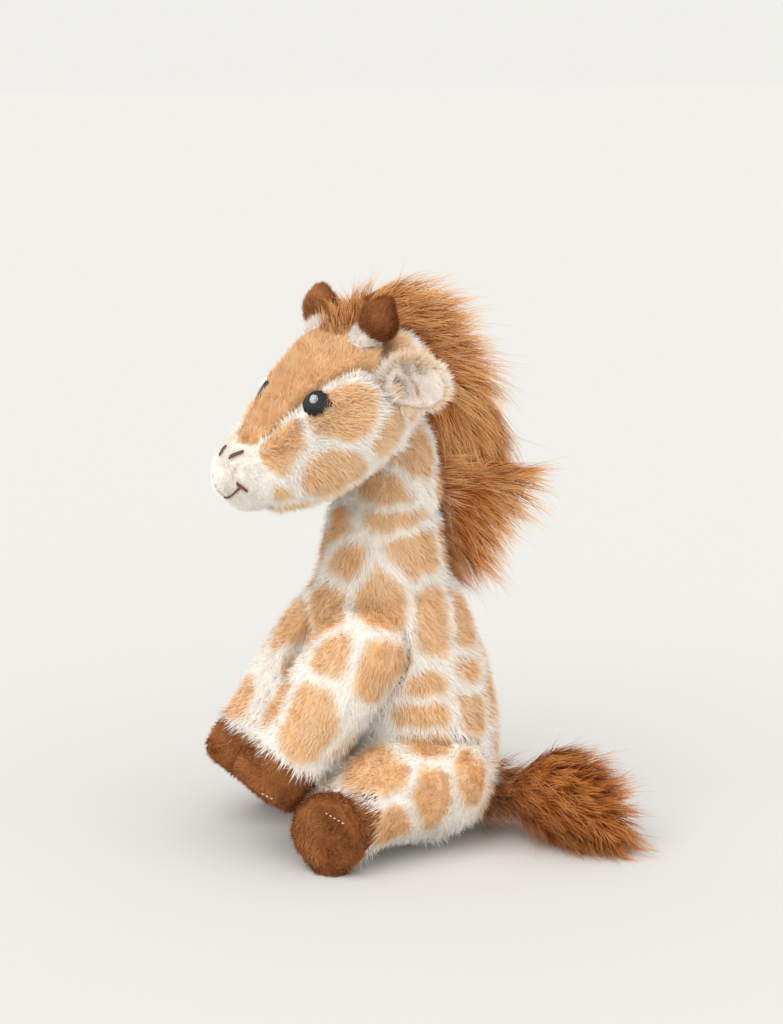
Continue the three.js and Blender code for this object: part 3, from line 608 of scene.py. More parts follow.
# Head: two spotted sides, a plain tan forehead gusset, a cream muzzle and chin, all short plush,
# sewn round the stuffing and pulled in along the brow. It turns on the neck's rounded end.
HEAD_PIVOT = np.array([0, -11.5, 160]) * MM
HEAD_TURN = math.radians(18)
ACROSS = np.array([math.cos(HEAD_TURN), math.sin(HEAD_TURN), 0])
BACKWARD = np.array([-math.sin(HEAD_TURN), math.cos(HEAD_TURN), 0])
UPWARD = np.array([0, 0, 1])
PANEL_DEPTHS = (1.2 * MM, 1.2 * MM, 3.4 * MM, 0.1 * MM, 0.3 * MM)
BROW_HALF_WIDTH = 1.5 * MM
MUZZLE_CLEAR = 6 * MM
FAR_GUSSET = 5 * MM
FAR_EASE = 8
MUZZLE_END = -70
MUZZLE_EASE = 12
RUFF_FRONT = -24
RUFF_TOP = 16
RUFF_EASE = 12
FAR_EYE_SHIFT = 2.7  # mm back and down, so that the far eye hides behind the brow
EYE_HALF_WIDTH = 5.4 * MM
EYE_HALF_HEIGHT = 5.0 * MM
HEAD_PANELS = (["head_side_left"], ["head_side_right"], ["forehead_gusset"], ["muzzle_panel"],
               ["chin_panel"])

# Spots of the head in its own frame: across, behind the turning point, above it, half sizes, in mm.
HEAD_SPOTS = (
    (30, -38, 20, 12, 9), (18, -60, 8, 7, 9), (29, -43, -5, 11, 9), (31, -19, 10, 8, 9),
    (26, 0, 20, 8, 9), (20, 9, 2, 8, 8), (24, -10, -9, 9, 7), (12, 12, 30, 7, 8),
    (16, -62, -14, 6, 5), (12, -30, -16, 9, 8), (18, -6, 42, 8, 6), (9, -52, -20, 8, 6),
)


def in_head(places):
    """Places in the head's own frame: across, backwards and up from its turning point."""
    from_pivot = places - HEAD_PIVOT
    return np.stack([from_pivot @ ACROSS, from_pivot @ BACKWARD, from_pivot @ UPWARD], axis=1)


def head_way(across, back, up, count):
    """The same direction of the head's own frame for every fibre."""
    return np.tile(across * ACROSS + back * BACKWARD + up * UPWARD, (count, 1))


def middle_of(part):
    """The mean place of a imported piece's corners."""
    return corners(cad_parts[part].data).mean(axis=0)


TAN_PLUSH = plush("Tan plush", (paint(240, 206, 166), paint(252, 240, 220)),
                  (paint(236, 188, 136), paint(250, 216, 172)))
CREAM_PLUSH = plush("Cream plush", (paint(250, 241, 230), paint(255, 252, 247)), TAN)

head_skin = stuffed_skin(
    "head_cloth",
    ["head_side_left", "head_side_right", "forehead_gusset", "muzzle_panel", "chin_panel", "head_stuffing"],
    grain=1.3 * MM, passes=8, inset=1.0 * MM, near=["neck_panel_left", "neck_panel_right"])
skin_reach["head_cloth"] = pull_seams(head_skin, HEAD_PANELS, PANEL_DEPTHS)
far, along_head, _ = in_head(corners(head_skin.data)).T / MM
behind_muzzle = smooth_step((along_head - MUZZLE_END) / MUZZLE_EASE)
skin_reach["head_cloth"][:, 2] -= FAR_GUSSET * smooth_step(-far / FAR_EASE) * behind_muzzle
head_panel = skin_reach["head_cloth"].argmin(axis=1)
side_print = spot_mask(in_head(corners(head_skin.data)), HEAD_SPOTS)
head_tan = np.select([head_panel < 2, head_panel == 2], [side_print, np.ones(len(head_panel))], 0.0)
dress_skin(head_skin, head_tan, SPOTTED)
FAR_EYE = middle_of("eye_right") + (BACKWARD - UPWARD) * FAR_EYE_SHIFT * MM
EYES = np.array([middle_of("eye_left"), FAR_EYE])
EYE_CLEAR = np.array([5.0, 4.8]) * MM
head_clear = clear_of(head_skin, [
    "neck_panel_left", "neck_panel_right", "horn_stem_left", "horn_stem_right", "ear_back_left",
    "ear_back_right"])


def on_the_eyes(places):
    """Whether each place is over the embroidery of an eye."""
    return (np.linalg.norm(places[:, None] - EYES[None], axis=2) < EYE_CLEAR).any(axis=1)


def panel_look(panels, way, length, radius, spots):
    """The fur of some head panels: its way, its length, its radius and its print. It is short in the
    seams, darkened by painted shade in the brow's, and long in a ruff low behind the cheek."""
    def look(places, normals, reach):
        brow = np.abs(reach[:, 2] - reach[:, :2].min(axis=1))
        # Painted shade along the brow seam, though not beside the muzzle.
        shadow = (1 - smooth_step(brow / BROW_HALF_WIDTH)) * (reach[:, 3] > MUZZLE_CLEAR)
        _, back, up = in_head(places).T / MM
        ruff = smooth_step((back - RUFF_FRONT) / RUFF_EASE) * smooth_step((RUFF_TOP - up) / RUFF_EASE)
        grown = length * (0.55 + 0.45 * off_seam(reach) + 0.5 * ruff)
        mine = np.isin(reach.argmin(axis=1), panels)
        return (head_way(*way, len(places)), grown, same(places, radius), lambda tips: spots(in_head(tips)),
                mine, shadow)
    return look


def head_print(places):
    """The print of the head's sides."""
    return spot_mask(places, HEAD_SPOTS)


def plain(value):
    """A panel without a print."""
    return lambda places: same(places, value)


# Piles of the head: fibres over the whole head, panels, way, length, radius, print, material and slot.
HEAD_PILES = (
    ("head_side_pile_1", 64000, [0], (0, 0.9, -0.55), 4.6, 0.23, head_print, SPOTTED, "spotted_plush"),
    ("head_side_pile_2", 56000, [1], (0, 0.9, -0.55), 4.6, 0.23, head_print, SPOTTED, "spotted_plush"),
    ("forehead_pile", 92000, [2], (0, 0.8, 0.6), 3.2, 0.22, plain(1.0), TAN_PLUSH, "tan_plush"),
    ("muzzle_pile", 150000, [3, 4], (0, 1.0, -0.2), 2.2, 0.18, plain(0.0), CREAM_PLUSH, "cream_plush"),
)
for order, (name, count, panels, way, length, radius, spots, finish, slot) in enumerate(HEAD_PILES):
    look = panel_look(panels, way, length * MM, radius * MM, spots)
    fur = pile(name, head_skin, count, 31 + order, look, head_clear, finish, spare=on_the_eyes)
    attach(fur, "head")
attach(head_skin, "head")
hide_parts("head_side_left", "head_side_right", "forehead_gusset", "muzzle_panel",
            "chin_panel", "head_stuffing")

# Eyes, nostrils and mouth: sewn straight into the face with embroidery thread. Each eye is a pad
# of black satin stitch with a pale grey highlight and a lash point behind; the rest is brown.
THREAD_RADIUS = 0.24 * MM
NOSTRIL_RADIUS = 0.42 * MM
EYE_STITCHES = 28
GLINT_STITCHES = 8
LASH_FROM = 0.78  # of the half width: past it the stitches taper to the lash point
RUNGS = 8
EYE_PADS = (1.5 * MM, 0.9 * MM)
EYE_CURVE = 22 * MM


def cloth_tree(piece):
    """A search tree over a piece of cloth."""
    return BVHTree.FromPolygons([Vector(c) for c in corners(piece.data)],
                                [p.vertices[:] for p in piece.data.polygons])


face = cloth_tree(head_skin)


def thread(name, colour, gloss):
    """Twisted embroidery thread: a fine slanting ply, a little shiny."""
    finish, tree, surface = new_material(name)
    place = tree.nodes.new("ShaderNodeTexCoord").outputs["Object"]
    ply = node(tree, "ShaderNodeTexWave", Vector=place, Scale=700.0, Distortion=2.5)
    ply.bands_direction = "DIAGONAL"
    fuzz = node(tree, "ShaderNodeTexNoise", Vector=place, Scale=2600.0)
    between = tuple(c * 0.7 for c in colour[:3]) + (1,)
    tone = blend_colours(tree, ply.outputs["Fac"], between, colour)
    relief = node(tree, "ShaderNodeBump", Height=ply.outputs["Fac"], Strength=0.5, Distance=0.0001)
    wear = node(tree, "ShaderNodeMapRange", Value=fuzz.outputs["Fac"], To_Min=gloss - 0.1,
                To_Max=gloss + 0.15)
    strand = node(tree, "ShaderNodeBsdfPrincipled", Base_Color=tone, Roughness=gloss,
                  Normal=relief.outputs["Normal"])
    tree.links.new(wear.outputs["Result"], strand.inputs["Roughness"])
    tree.links.new(strand.outputs["BSDF"], surface)
    return finish


def sew(name, lines, radius, finish, body):
    """Round threads along lines of points, as one mesh riding on a body."""
    route = bpy.data.curves.new(name, "CURVE")
    route.dimensions = "3D"
    route.bevel_depth = radius
    route.bevel_resolution = 2
    route.use_fill_caps = True
    for line in lines:
        strand = route.splines.new("POLY")
        strand.points.add(len(line) - 1)
        for point, place in zip(strand.points, line):
            point.co = (*place, 1)
    drawn = bpy.data.objects.new(name + "_route", route)
    scene.collection.objects.link(drawn)
    view = bpy.context.evaluated_depsgraph_get()
    mesh = bpy.data.meshes.new_from_object(drawn.evaluated_get(view))
    mesh.name = name
    bpy.data.objects.remove(drawn)
    mesh.shade_smooth()
    mesh.materials.clear()
    mesh.materials.append(finish)
    piece = bpy.data.objects.new(name, mesh)
    scene.collection.objects.link(piece)
    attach(piece, body)
    return piece


def on_cloth(place, outward, height, cloth=face):
    """The point of the face, or of another cloth, under a place, raised by a height."""
    place, outward = Vector(place), Vector(outward).normalized()
    found = cloth.ray_cast(place + outward * 12 * MM, -outward, 30 * MM)[0]
    return (found if found is not None else place) + outward * height


def satin(middle, outward, half_width, half_height, count, lift, draw, ragged, lash=0.0):
    """Upright satin stitches side by side over an oval, domed over their padding. They follow the
    cloth, but sink no deeper at the oval's edge than the eye's own curve."""
    outward = Vector(outward)
    upward = (Vector(UPWARD) - outward * outward.z).normalized()
    backward = Vector(BACKWARD)
    backward = (backward - outward * outward.dot(backward)).normalized()
    backward = (backward - upward * upward.dot(backward)).normalized()
    lines = []
    for step in range(count):
        share = (step + 0.5) / count * 2 - 1
        tall = half_height * math.sqrt(max(0.06, 1 - share * share))
        if lash and share > LASH_FROM:
            tall = half_height * (0.42 - 1.2 * (share - LASH_FROM))
        ends = draw.uniform(-1, 1, 2) * ragged
        aside = half_width * share * (1 + lash * max(0, share) ** 6)
        line = []
        for rung in range(RUNGS + 1):
            rise = rung / RUNGS * 2 - 1
            drop = rise * tall + (ends[0] if rise > 0 else ends[1]) * abs(rise)
            place = Vector(middle) + backward * aside + upward * drop
            dome = lift * math.sqrt(max(0.0, 1 - rise ** 4)) * math.sqrt(max(0.15, 1 - share * share))
            least = -(aside * aside + drop * drop) / (2 * EYE_CURVE)
            height = max((on_cloth(place, outward, 0) - Vector(middle)).dot(outward), least)
            line.append(place + outward * (height + dome))
        lines.append(line)
    return lines


def pad_axis(part):
    """The way a flat round packed pad faces."""
    places = corners(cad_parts[part].data)
    axis = np.linalg.svd(places - places.mean(axis=0), full_matrices=False)[2][-1]
    return axis * np.sign((places.mean(axis=0) - HEAD_PIVOT) @ axis)


BLACK_THREAD = thread("Black thread", paint(22, 22, 24), 0.5)
GREY_THREAD = thread("Grey thread", paint(205, 206, 214), 0.5)
BROWN_THREAD = thread("Brown thread", paint(112, 66, 46), 0.6)
stitcher = np.random.default_rng(5)
for side, padding, middle in zip(("left", "right"), EYE_PADS, EYES):
    outward = pad_axis(f"eye_{side}")
    stitches = satin(middle, outward, EYE_HALF_WIDTH, EYE_HALF_HEIGHT, EYE_STITCHES, padding, stitcher,
                     ragged=0.45 * MM, lash=0.3)
    eye = sew(f"eye_{side}_satin", stitches, THREAD_RADIUS, BLACK_THREAD, "head")
    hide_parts(f"eye_{side}")
    glint = middle + (BACKWARD * -0.4 + UPWARD * 0.9) * MM
    stitches = satin(glint, outward, 1.6 * MM, 1.8 * MM, GLINT_STITCHES, padding + 0.5 * MM, stitcher,
                     ragged=0.1 * MM)
    sew(f"eye_{side}_highlight", stitches, THREAD_RADIUS, GREY_THREAD, "head")


def from_head(across, back, up):
    """A place of the head's own frame, given in mm, in the part's frame."""
    return HEAD_PIVOT + (across * ACROSS + back * BACKWARD + up * UPWARD) * MM


# Ends and bends of the near half's lines, in mm of the head's own frame.
NOSTRIL = ((3.6, -75, 2.6), (7.4, -71.5, 6.2))
MOUTH_TICK = ((9.6, -75, -6.2), (13.2, -73, -9.2))
MOUTH_LINE = ((11.2, -75.1, -8), (5.7, -76.3, -12.2), (2.9, -77, -13.6), (0, -77.2, -14.2))
LINE_CUTS = 6


def sewn_line(points, height, rows, spacing):
    """Thread lines along points of the head's frame, laid on the cloth, in rows side by side."""
    lines = []
    for row in range(rows):
        drop = (row - (rows - 1) / 2) * spacing
        line = []
        for start, end in zip(points[:-1], points[1:]):
            for cut in range(LINE_CUTS):
                share = cut / LINE_CUTS
                across, back, up = [a + (b - a) * share for a, b in zip(start, end)]
                line.append(from_head(across, back, up + drop))
        line.append(from_head(points[-1][0], points[-1][1], points[-1][2] + drop))
        lines.append([on_cloth(place, face.find_nearest(Vector(place))[1], height) for place in line])
    return lines


def mirrored(points):
    """The same points on the other side of the face."""
    return [(-across, back, up) for across, back, up in points]


for side, points in (("left", NOSTRIL), ("right", mirrored(NOSTRIL))):
    nostril = sew(f"nostril_{side}_stitch", sewn_line(points, 1.3 * MM, 3, 0.7), NOSTRIL_RADIUS,
                  BROWN_THREAD, "head")
    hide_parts(f"nostril_{side}")
mouth_lines = []
for points, rows, height in ((MOUTH_TICK, 3, 1.2), (mirrored(MOUTH_TICK), 3, 0.5), (MOUTH_LINE, 2, 1.2),
                             (mirrored(MOUTH_LINE), 2, 0.5)):
    mouth_lines += sewn_line(points, height * MM, rows, 0.5)
mouth = sew("mouth_line_stitch", mouth_lines, THREAD_RADIUS, BROWN_THREAD, "head")
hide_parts("mouth_stitch")

# Ears: a long-haired tan and cream back and a smooth short cream lining, folded to a cup at the
# root and sewn into the head's side seam. Each flops a little on its own.
EAR_FIBRES = 10000
EAR_SHAG = {"left": 5.4, "right": 2.0}  # mm: short on the far ear, which lies folded back
LINING_NAP = 1.2
RIM_HEIGHT = 3 * MM  # above the ear's middle the back's fur rolls over the edge
RIM_EASE = 5 * MM
CUP_FLOOR = 3 * MM
CUP_WALL = 4.5 * MM
CUP_DEPTH = 1.5 * MM


def ear_look(middle, out, shag):
    """Long fur away from the root on the back, very short fur in the cup."""
    def look(places, normals, reach):
        lining = reach[:, 1] < reach[:, 0]
        way = same(places, out) + unit(places - middle) * 0.8
        length = np.where(lining, LINING_NAP, shag) * MM
        radius = np.where(lining, 0.17, 0.22) * MM
        patch = smooth_step(np.sin(places[:, 2] / (3.2 * MM) + 0.6) + 0.8)
        tan = np.where(lining, 0.0, 0.15 + 0.45 * patch)
        return way, length, radius, tan, same(places, True), 0.0
    return look


EAR_PLUSH = plush("Ear plush", (paint(255, 244, 234), paint(255, 249, 244)),
                  (paint(244, 206, 150), paint(253, 232, 196)))


def fold_ear(skin, sign):
    """Presses the lining into a cup inside its rolled rim. Returns, for the back and the lining, 0
    where a corner belongs to it and 1 where it doesn't."""
    places, normals = corners(skin.data), corner_normals(skin.data)
    mouth = unit(sign * ACROSS * 0.9 - BACKWARD * 0.25 - UPWARD * 0.3)
    facing = normals @ mouth
    height = (places - places.mean(axis=0)) @ unit(UPWARD + mouth * 0.3)
    lined = facing - 0.45 * smooth_step((height - RIM_HEIGHT) / RIM_EASE) > 0.35
    middle = places[lined].mean(axis=0)
    aside = places - middle
    aside = np.linalg.norm(aside - (aside @ mouth)[:, None] * mouth, axis=1)
    cup = (1 - smooth_step((aside - CUP_FLOOR) / CUP_WALL)) * smooth_step(facing / 0.4)
    places -= mouth * (cup * CUP_DEPTH)[:, None]
    move_corners(skin.data, places)
    return np.stack([np.where(lined, 1.0, 0.0), np.where(lined, 0.0, 1.0)], axis=1)


for side, sign in (("left", 1), ("right", -1)):
    skin = stuffed_skin(f"ear_{side}_cloth", [f"ear_back_{side}", f"ear_lining_{side}"],
                        grain=0.8 * MM, passes=3, inset=0.6 * MM)
    skin_reach[skin.name] = fold_ear(skin, sign)
    ear_middle = corners(skin.data).mean(axis=0)
    look = ear_look(ear_middle, sign * ACROSS * 0.9 + UPWARD * 0.4, EAR_SHAG[side])
    dress_skin(skin, 0.0, EAR_PLUSH)
    clear = clear_of(skin, [f"head_side_{side}"])
    fur = pile(f"ear_{side}_pile", skin, EAR_FIBRES, 51 + sign, look, clear, EAR_PLUSH)
    for piece in (skin, fur):
        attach(piece, f"ear_{side}")
    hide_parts(f"ear_back_{side}", f"ear_lining_{side}")

# Horns: stuffed stems of short cream plush with egg-shaped brown tips sewn on at a slant, set
# into the ends of the forehead gusset.
HORN_FIBRES = 7000
HORN_FUR = (2.4 * MM, 0.18 * MM)  # length and radius
TIP_LENGTH = 10 * MM
TIP_TAPER = 0.36
TIP_LEAN = 2.2
BROWN_PLUSH = plush("Brown plush", (paint(158, 98, 56), paint(202, 140, 92)),
                    (paint(104, 56, 26), paint(162, 100, 60)), sheen=0.0)


def horn_look(axis, tip):
    """Short fur that lies towards the horn's end, and is darkest at the back of the tip."""
    def look(places, normals, reach):
        brown = reach[:, 1] < reach[:, 0]
        keep = brown if tip else ~brown
        dark = smooth_step((places - places.mean(axis=0)) @ BACKWARD / (7 * MM) + 0.55)
        length, radius = [same(places, size) for size in HORN_FUR]
        return same(places, axis), length, radius, dark if tip else same(places, 0.0), keep, 0.0
    return look


def point_tip(skin, middle, axis):
    """Draws a horn's end in to a blunt point that leans forwards."""
    places = corners(skin.data)
    along = (places - middle) @ axis
    aside = places - middle - along[:, None] * axis
    end = smooth_step(along / TIP_LENGTH)[:, None]
    places -= aside * TIP_TAPER * end + BACKWARD * TIP_LEAN * MM * end
    move_corners(skin.data, places)


for side in ("left", "right"):
    stem, end = f"horn_stem_{side}", f"horn_tip_{side}"
    skin = stuffed_skin(f"horn_{side}_cloth", [stem, end], grain=0.8 * MM, passes=3, inset=0.7 * MM)
    skin_reach[skin.name] = pull_seams(skin, ([stem], [end]), (0.4 * MM, 0.4 * MM))
    clear = clear_of(skin, ["forehead_gusset", "head_side_left", "head_side_right", "head_mane"])
    axis = unit(middle_of(end) - middle_of(stem))
    point_tip(skin, middle_of(end), axis)
    brown = skin_reach[skin.name][:, 1] < skin_reach[skin.name][:, 0]
    dress_skin(skin, np.where(brown, 0.6, 0.0), BROWN_PLUSH)
    skin.data.materials.append(CREAM_PLUSH)
    for polygon in skin.data.polygons:
        polygon.material_index = 0 if brown[polygon.vertices[0]] else 1
    for part, finish, slot in (("tip", BROWN_PLUSH, "brown_plush"), ("stem", CREAM_PLUSH, "cream_plush")):
        fur = pile(f"horn_{side}_{part}_pile", skin, HORN_FIBRES, 61, horn_look(axis, part == "tip"), clear,
                   finish)
        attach(fur, "head")
    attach(skin, "head")
    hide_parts(stem, end)

# Legs: four stuffed tubes of the spotted plush, each ending in a brown hoof with a round sole
# let in by hand. The front pair is sewn flat to the shoulders, the hind pair sits at the hips.
LEG_FIBRES = 17000
HOOF_FIBRES = 10000
FRINGE_REACH = 6 * MM
HOOF_OVERLAP = 2.4 * MM
# How far from another hoof painted shade reaches.
CREVICE_REACH = 6 * MM
STITCH_PITCH = 1.9 * MM
STITCH_SHARE = 0.13  # of a pitch: the rest is the gap to the next stitch
STITCH_ARCH = (0.9, 1.5, 1.5, 0.9)  # mm above the cloth, from one end of a stitch to the other
WHITE_THREAD = thread("White thread", paint(238, 232, 224), 0.6)
# Ends of the row of white hand stitches on the left front hoof and on the left hind hoof, in mm.
HAND_SEAMS = {"front": ((37.0, -73.0, 31.1), (38.7, -68.2, 28.8)),
              "hind": ((51.7, -51.0, 26.3), (57.5, -44.5, 22.8))}


def leg_look(line):
    """Fur that lies along the limb, longest where it hangs over the hoof."""
    def look(places, normals, reach):
        fringe = 1 - smooth_step(reach[:, -1] / FRINGE_REACH)
        return (same(places, line), (4.2 + 2.4 * fringe) * MM, same(places, FUR_RADIUS), body_print,
                reach[:, 0] < HOOF_OVERLAP, 0.0)
    return look


def hoof_look(line, middle):
    """Short curling nap: along the hoof on its wall and in a swirl on its sole, and darkened by
    painted shade in the seam and beside the other hooves."""
    def look(places, normals, reach):
        sole = reach[:, 1] < reach[:, 0]
        swirl = np.cross(same(places, line), places - middle)
        way = np.where(sole[:, None], unit(swirl) + 0.5 * np.array([0, 0, -1]), line[None])
        way = way + 0.9 * np.sin(places[:, [2, 0, 1]] / (2.3 * MM) + np.array([0.4, 2.1, 4.0]))
        seam = smooth_step(np.abs(reach[:, 1] - reach[:, 0]) / SEAM_HALF_WIDTH)
        cloud = np.sin(places @ (310, 190, 250) + 1.3) * np.sin(places @ (-210, 330, 170))
        # Painted shade: a little in the seam, and more close beside another hoof.
        shadow = (1 - seam) * 0.3 + (1 - smooth_step(reach[:, 3] / CREVICE_REACH)) * 1.2
        return (way, (1.5 + 1.1 * seam) * MM, same(places, FUR_RADIUS), 0.5 + 0.4 * cloud,
                reach[:, 2] > 2.5 * MM, shadow)
    return look


def hand_stitches(shoe, ends, sign):
    """A row of short stitches across a hoof, standing clear of its nap."""
    tree = cloth_tree(shoe)
    first, last = [Vector((x * sign, y, z)) * MM for x, y, z in ends]
    count = round((last - first).length / STITCH_PITCH)
    lines = []
    for step in range(count):
        line = []
        for cut, height in enumerate(STITCH_ARCH):
            place = first.lerp(last, (step + STITCH_SHARE * cut) / count)
            line.append(on_cloth(place, tree.find_nearest(place)[1], height * MM, tree))
        lines.append(line)
    return lines


LEGS = [(pair, side) for pair in ("front", "hind") for side in ("left", "right")]
for order, (pair, side) in enumerate(LEGS):
    kind, body = f"{pair}_{{}}_{side}", f"{pair}_leg_{side}"
    cloth, hoof, sole, filling = [kind.format(part) for part in ("skin", "hoof", "sole", "stuffing")]
    foot = middle_of(sole)
    line = unit(middle_of(hoof) - middle_of(cloth))
    near = ["torso_panel_left", "torso_panel_right"] + [
        f"{other}_skin_{hand}" for other, hand in LEGS if (other, hand) != (pair, side)]
    skin = stuffed_skin(f"{body}_cloth", [cloth, filling], grain=1.5 * MM, passes=5, inset=1.2 * MM,
                        near=near + [hoof])
    skin_reach[skin.name] = np.column_stack([
        distances(corners(skin.data), [cloth]), distances(corners(skin.data), [hoof])])
    dress_skin(skin, spot_mask(corners(skin.data), BODY_SPOTS), SPOTTED)
    fur = pile(f"{body}_pile", skin, LEG_FIBRES, 71 + order, leg_look(line), clear_of(skin, near), SPOTTED,
               bridge=0.6)
    others = [f"{other}_hoof_{hand}" for other, hand in LEGS if (other, hand) != (pair, side)]
    shoe = stuffed_skin(f"{body}_hoof_cloth", [hoof, sole], grain=1.1 * MM, passes=4, inset=0.7 * MM)
    skin_reach[shoe.name] = np.column_stack([
        pull_seams(shoe, ([hoof], [sole]), (0.7 * MM, 0.7 * MM)), distances(corners(shoe.data), [cloth]),
        distances(corners(shoe.data), others)])
    dress_skin(shoe, 0.6, BROWN_PLUSH)
    nap = pile(f"{body}_hoof_pile", shoe, HOOF_FIBRES, 81 + order, hoof_look(line, foot),
               clear_of(shoe, [cloth]), BROWN_PLUSH, ruffle=1.5)
    sew(f"{body}_hand_stitches", hand_stitches(shoe, HAND_SEAMS[pair], 1 if side == "left" else -1),
        0.17 * MM, WHITE_THREAD, body)
    for piece in (skin, fur, shoe, nap):
        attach(piece, body)
    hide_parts(cloth, filling)
    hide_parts(hoof, sole)

# Mane: long combed hair sewn into the back seam, dark at its roots and pale at its loose ends.
# The head carries the upper part and the neck the lower part.
HAIR_CUTS = 5
LONG_HAIR = strand_template(HAIR_CUTS, 0.15)
HAIR_RADIUS = 0.17 * MM
ROOT_LIFT = 0.35
ROOT_STRAY = 0.1
LOCK_STRAY = 0.22
LOCK_LENGTHS = (0.6, 1.25)
HAIR_LENGTHS = (0.45, 1.15)
HAIR_STRAY = 0.1
WISPS_FROM = 0.93  # of all hairs: the rest stand out from their lock
LOCK_GATHER = 0.75
MANE_HAIRS = 3650
MANE_FALL = 0.1
LOCKS = 190
FEWEST_HAIRS = 6  # in a lock
HAIR_ENDS = (72.5 * MM, 87 * MM)  # no hair reaches past these in x and in y
HAIR = plush("Long hair", (paint(178, 94, 32), paint(255, 216, 160)),
             (paint(142, 68, 18), paint(248, 176, 102)), roughness=0.7)
# The cores under the hair: the dark brown of the hair's roots, and painted shade deep inside the mane and
# the brush.
SHADED_ROOTS = plush("Hair roots and painted shade", (paint(150, 78, 28), paint(170, 92, 40)),
              (paint(134, 68, 26), paint(160, 86, 38)))
MANE_SPLIT = {"head_mane": 2.2 * MM, "neck_mane": 5.0 * MM}
SPLIT_REACH = 8 * MM
NAPE = ["head_side_left", "head_side_right", "neck_panel_left", "neck_panel_right"]


def comb(name, skin, count, seed, way, length, fall, clearance, finish=HAIR):
    """Long hair over a core, gathered in locks: a lock leaves the core, turns the way it is combed,
    falls, and draws its hairs together towards its tip."""
    draw = np.random.default_rng(seed)
    chosen, shares = scatter(skin.data, count, draw)
    places = spread(corners(skin.data), chosen, shares)
    normals = unit(spread(corner_normals(skin.data), chosen, shares))
    keep = spread(clearance, chosen, shares)[:, 1] > FREE_ENOUGH
    places, normals = places[keep], normals[keep]
    count = len(places)
    locks = min(LOCKS, count // FEWEST_HAIRS)
    leaders = draw.choice(count, locks, replace=False)
    lock = np.linalg.norm(places[:, None] - places[leaders][None], axis=2).argmin(axis=1)
    combed = way(places[leaders])
    start = unit(normals[leaders] * ROOT_LIFT + combed * 0.9 + ROOT_STRAY * draw.standard_normal((locks, 3)))
    late = unit(combed + LOCK_STRAY * draw.standard_normal((locks, 3)))
    reach = length(places) * draw.uniform(*LOCK_LENGTHS, locks)[lock] * draw.uniform(*HAIR_LENGTHS, count)
    steps = np.linspace(0, 1, HAIR_CUTS + 1)[None, :, None]
    bend = draw.normal(0, HAIR_STRAY, (count, 1, 3))
    stray = draw.normal(0, HAIR_STRAY, (count, 1, 3)) * (1 + 2 * (draw.random((count, 1, 1)) > WISPS_FROM))
    gather = (places[leaders][lock] - places)[:, None] * LOCK_GATHER * steps ** 1.3
    paths = places[:, None] + gather + reach[:, None, None] * (
        start[lock][:, None] * (steps - 0.5 * steps ** 2) + late[lock][:, None] * 0.5 * steps ** 2
        + bend * steps * (1 - steps) + stray * steps ** 1.5 + np.array([0, 0, -fall]) * steps ** 2)
    for axis, end in enumerate(HAIR_ENDS):
        reached = paths[..., axis].max(axis=1, keepdims=True) - paths[:, :1, axis]
        room = (end - paths[:, :1, axis]) / np.maximum(reached, 1e-6)
        paths = paths[:, :1] + (paths - paths[:, :1]) * np.clip(room, 0, 1)[..., None]
    paths[..., 2] = np.maximum(paths[..., 2], FLOOR_CLEARANCE)
    tone = np.clip(draw.random(locks)[lock] * 0.6 + draw.random(count) * 0.4, 0, 1)
    return fibres_mesh(name, paths, normals, np.full(count, HAIR_RADIUS),
                       {"spot": tone, "shade": draw.random(count)}, LONG_HAIR, finish)


CROWN_FOOT = 5
CROWN_RISE = 45
BROW_BACK = -6
BROW_EASE = 14
NAPE_LEVEL = 134 * MM
NAPE_EASE = 10 * MM


def head_mane_way(places):
    """Standing over the brow, up and back over the crown, then back and down behind the head."""
    _, back, up = in_head(places).T / MM
    height = smooth_step((up - CROWN_FOOT) / CROWN_RISE)[:, None]
    front = smooth_step((BROW_BACK - back) / BROW_EASE)[:, None]
    way = BACKWARD * (0.42 + 0.58 * height) + UPWARD * (1.1 * height - 0.88)
    return unit(way * (1 - front) + (UPWARD - 0.15 * BACKWARD) * front)


def neck_mane_way(places):
    """Straight back beneath the head's hair, back and down below it."""
    rise = smooth_step((places[:, 2:] - NAPE_LEVEL) / NAPE_EASE)
    return unit(np.array([0, 0.7, -0.75]) * (1 - rise) + np.array([0, 0.9, 0.05]) * rise)


def dark_core(name, part, inset, near=(), beside=()):
    """The mass of the hair's roots, drawn in where it meets the other part of the mane. Its dark brown is
    the roots' own colour together with painted shade from deep inside the hair.
    """
    skin = stuffed_skin(name, [part], grain=1.2 * MM, passes=6, inset=inset, near=near)
    if beside:
        places = corners(skin.data)
        close = 1 - smooth_step(distances(places, beside) / SPLIT_REACH)
        places -= corner_normals(skin.data) * (close * MANE_SPLIT[part])[:, None]
        move_corners(skin.data, places)
    dress_skin(skin, 1.0, SHADED_ROOTS)
    return skin


def head_hair_length(places):
    """Short over the brow, long behind, and longest at the nape."""
    _, back, up = in_head(places).T / MM
    return (9 + 10 * smooth_step((back + 22) / 30) + 1.5 * smooth_step((16 - up) / 22)) * MM


def neck_hair_length(places):
    """The same all down the neck."""
    return same(places, 17 * MM)


def rim_of(skin, part, reach):
    """Where hair may be rooted in a cloth: only along the edge of a part of the mane."""
    rim = (distances(corners(skin.data), [part]) < reach).astype(float)
    return np.column_stack([rim, rim])


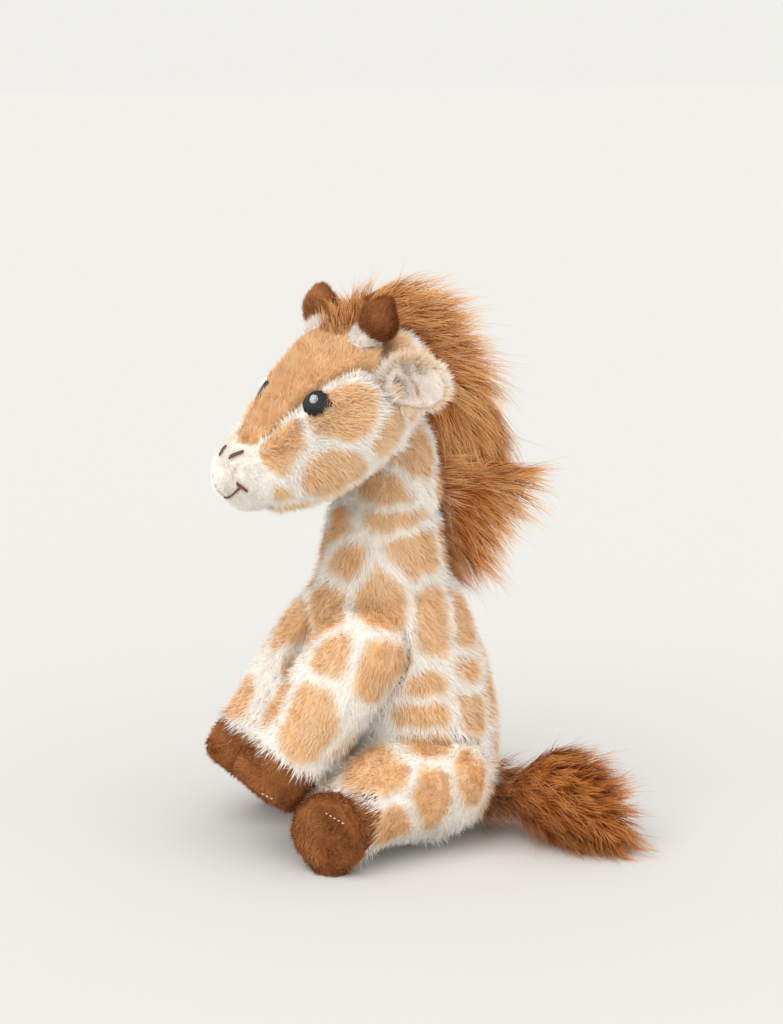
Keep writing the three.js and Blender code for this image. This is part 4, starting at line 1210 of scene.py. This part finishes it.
# Parts of the mane: the part, the other part, its combing, body, lengths and pieces of hair, how far
# its core is drawn in, the cloth beside it, how wide a rim of that has hair, and how many roots are
# tried over the whole cloth to fill that rim.
MANE = (("head_mane", "neck_mane", head_mane_way, "head", head_hair_length, 2, 2.4, head_skin, 3.0, 30000),
        ("neck_mane", "head_mane", neck_mane_way, "neck", neck_hair_length, 1, 3.0, body_skin, 7.0, 182000))
for part, other, way, body, length, batches, inset, cloth, rim, tries in MANE:
    core = dark_core(f"{part}_roots", part, inset * MM, near=NAPE, beside=[other])
    clear = clear_of(core, NAPE)
    hairs = [comb(f"{part}_hair_{batch + 1}", core, MANE_HAIRS, 91 + batch, way, length, MANE_FALL, clear)
             for batch in range(batches)]
    clear = rim_of(cloth, part, rim * MM)
    hairs.append(comb(f"{part}_edge_hair", cloth, tries, 95, way, length, MANE_FALL, clear))
    for hair in hairs:
        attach(hair, body)
    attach(core, body)
    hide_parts(part)

# Tail: a short stuffed tan stem sewn into the back, with a brush of the mane's long hair at its
# end that rests on the floor behind.
STEM_FIBRES = 4000
STEM_HAIRS = 2000
TUFT_HAIRS = 2800
TUFT_FALL = 0.12
STEM_FALL = 0.03
BRUSH_START = 6 * MM
TAIL_HAIR = plush("Tail hair", (paint(150, 74, 22), paint(240, 172, 104)),
                  (paint(122, 54, 12), paint(222, 140, 68)), roughness=0.7)
TAIL_LINE = unit(middle_of("tail_tuft") - middle_of("tail_stem"))
stem = stuffed_skin("tail_stem_cloth", ["tail_stem"], grain=0.9 * MM, passes=4, inset=0.8 * MM)
skin_reach[stem.name] = distances(corners(stem.data), ["tail_stem"])[:, None]
dress_skin(stem, 1.0, TAN_PLUSH)
stem_fur = pile("tail_stem_pile", stem, STEM_FIBRES, 101, leg_look(TAIL_LINE),
                clear_of(stem, ["torso_panel_left", "torso_panel_right", "tail_tuft"]), TAN_PLUSH)
# The brush's core, dark brown for its roots and for painted shade inside it.
tuft = dark_core("tail_tuft_roots", "tail_tuft", 3.2 * MM)


def tuft_way(places):
    """Outwards along the tail and away from the brush's middle line."""
    from_root = places - middle_of("tail_stem") + TAIL_LINE * BRUSH_START
    aside = from_root - (from_root @ TAIL_LINE)[:, None] * TAIL_LINE
    return unit(TAIL_LINE + unit(aside) * 0.5)


def tuft_length(places):
    """The same all round the brush."""
    return same(places, 14 * MM)


def stem_hair_length(places):
    """Longer over the stem, where the brush begins."""
    return tuft_length(places) * 1.25


for piece in (stem, stem_fur, tuft):
    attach(piece, "tail")
for batch in range(2):
    hair = comb(f"tail_tuft_hair_{batch + 1}", tuft, TUFT_HAIRS, 103 + batch, tuft_way, tuft_length,
                TUFT_FALL, clear_of(tuft, ["torso_panel_left"]), TAIL_HAIR)
    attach(hair, "tail")
hair = comb("tail_stem_hair", stem, STEM_HAIRS, 107, tuft_way, stem_hair_length, STEM_FALL,
            clear_of(stem, ["torso_panel_left", "torso_panel_right"]), TAIL_HAIR)
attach(hair, "tail")
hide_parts("tail_stem")
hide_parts("tail_tuft")
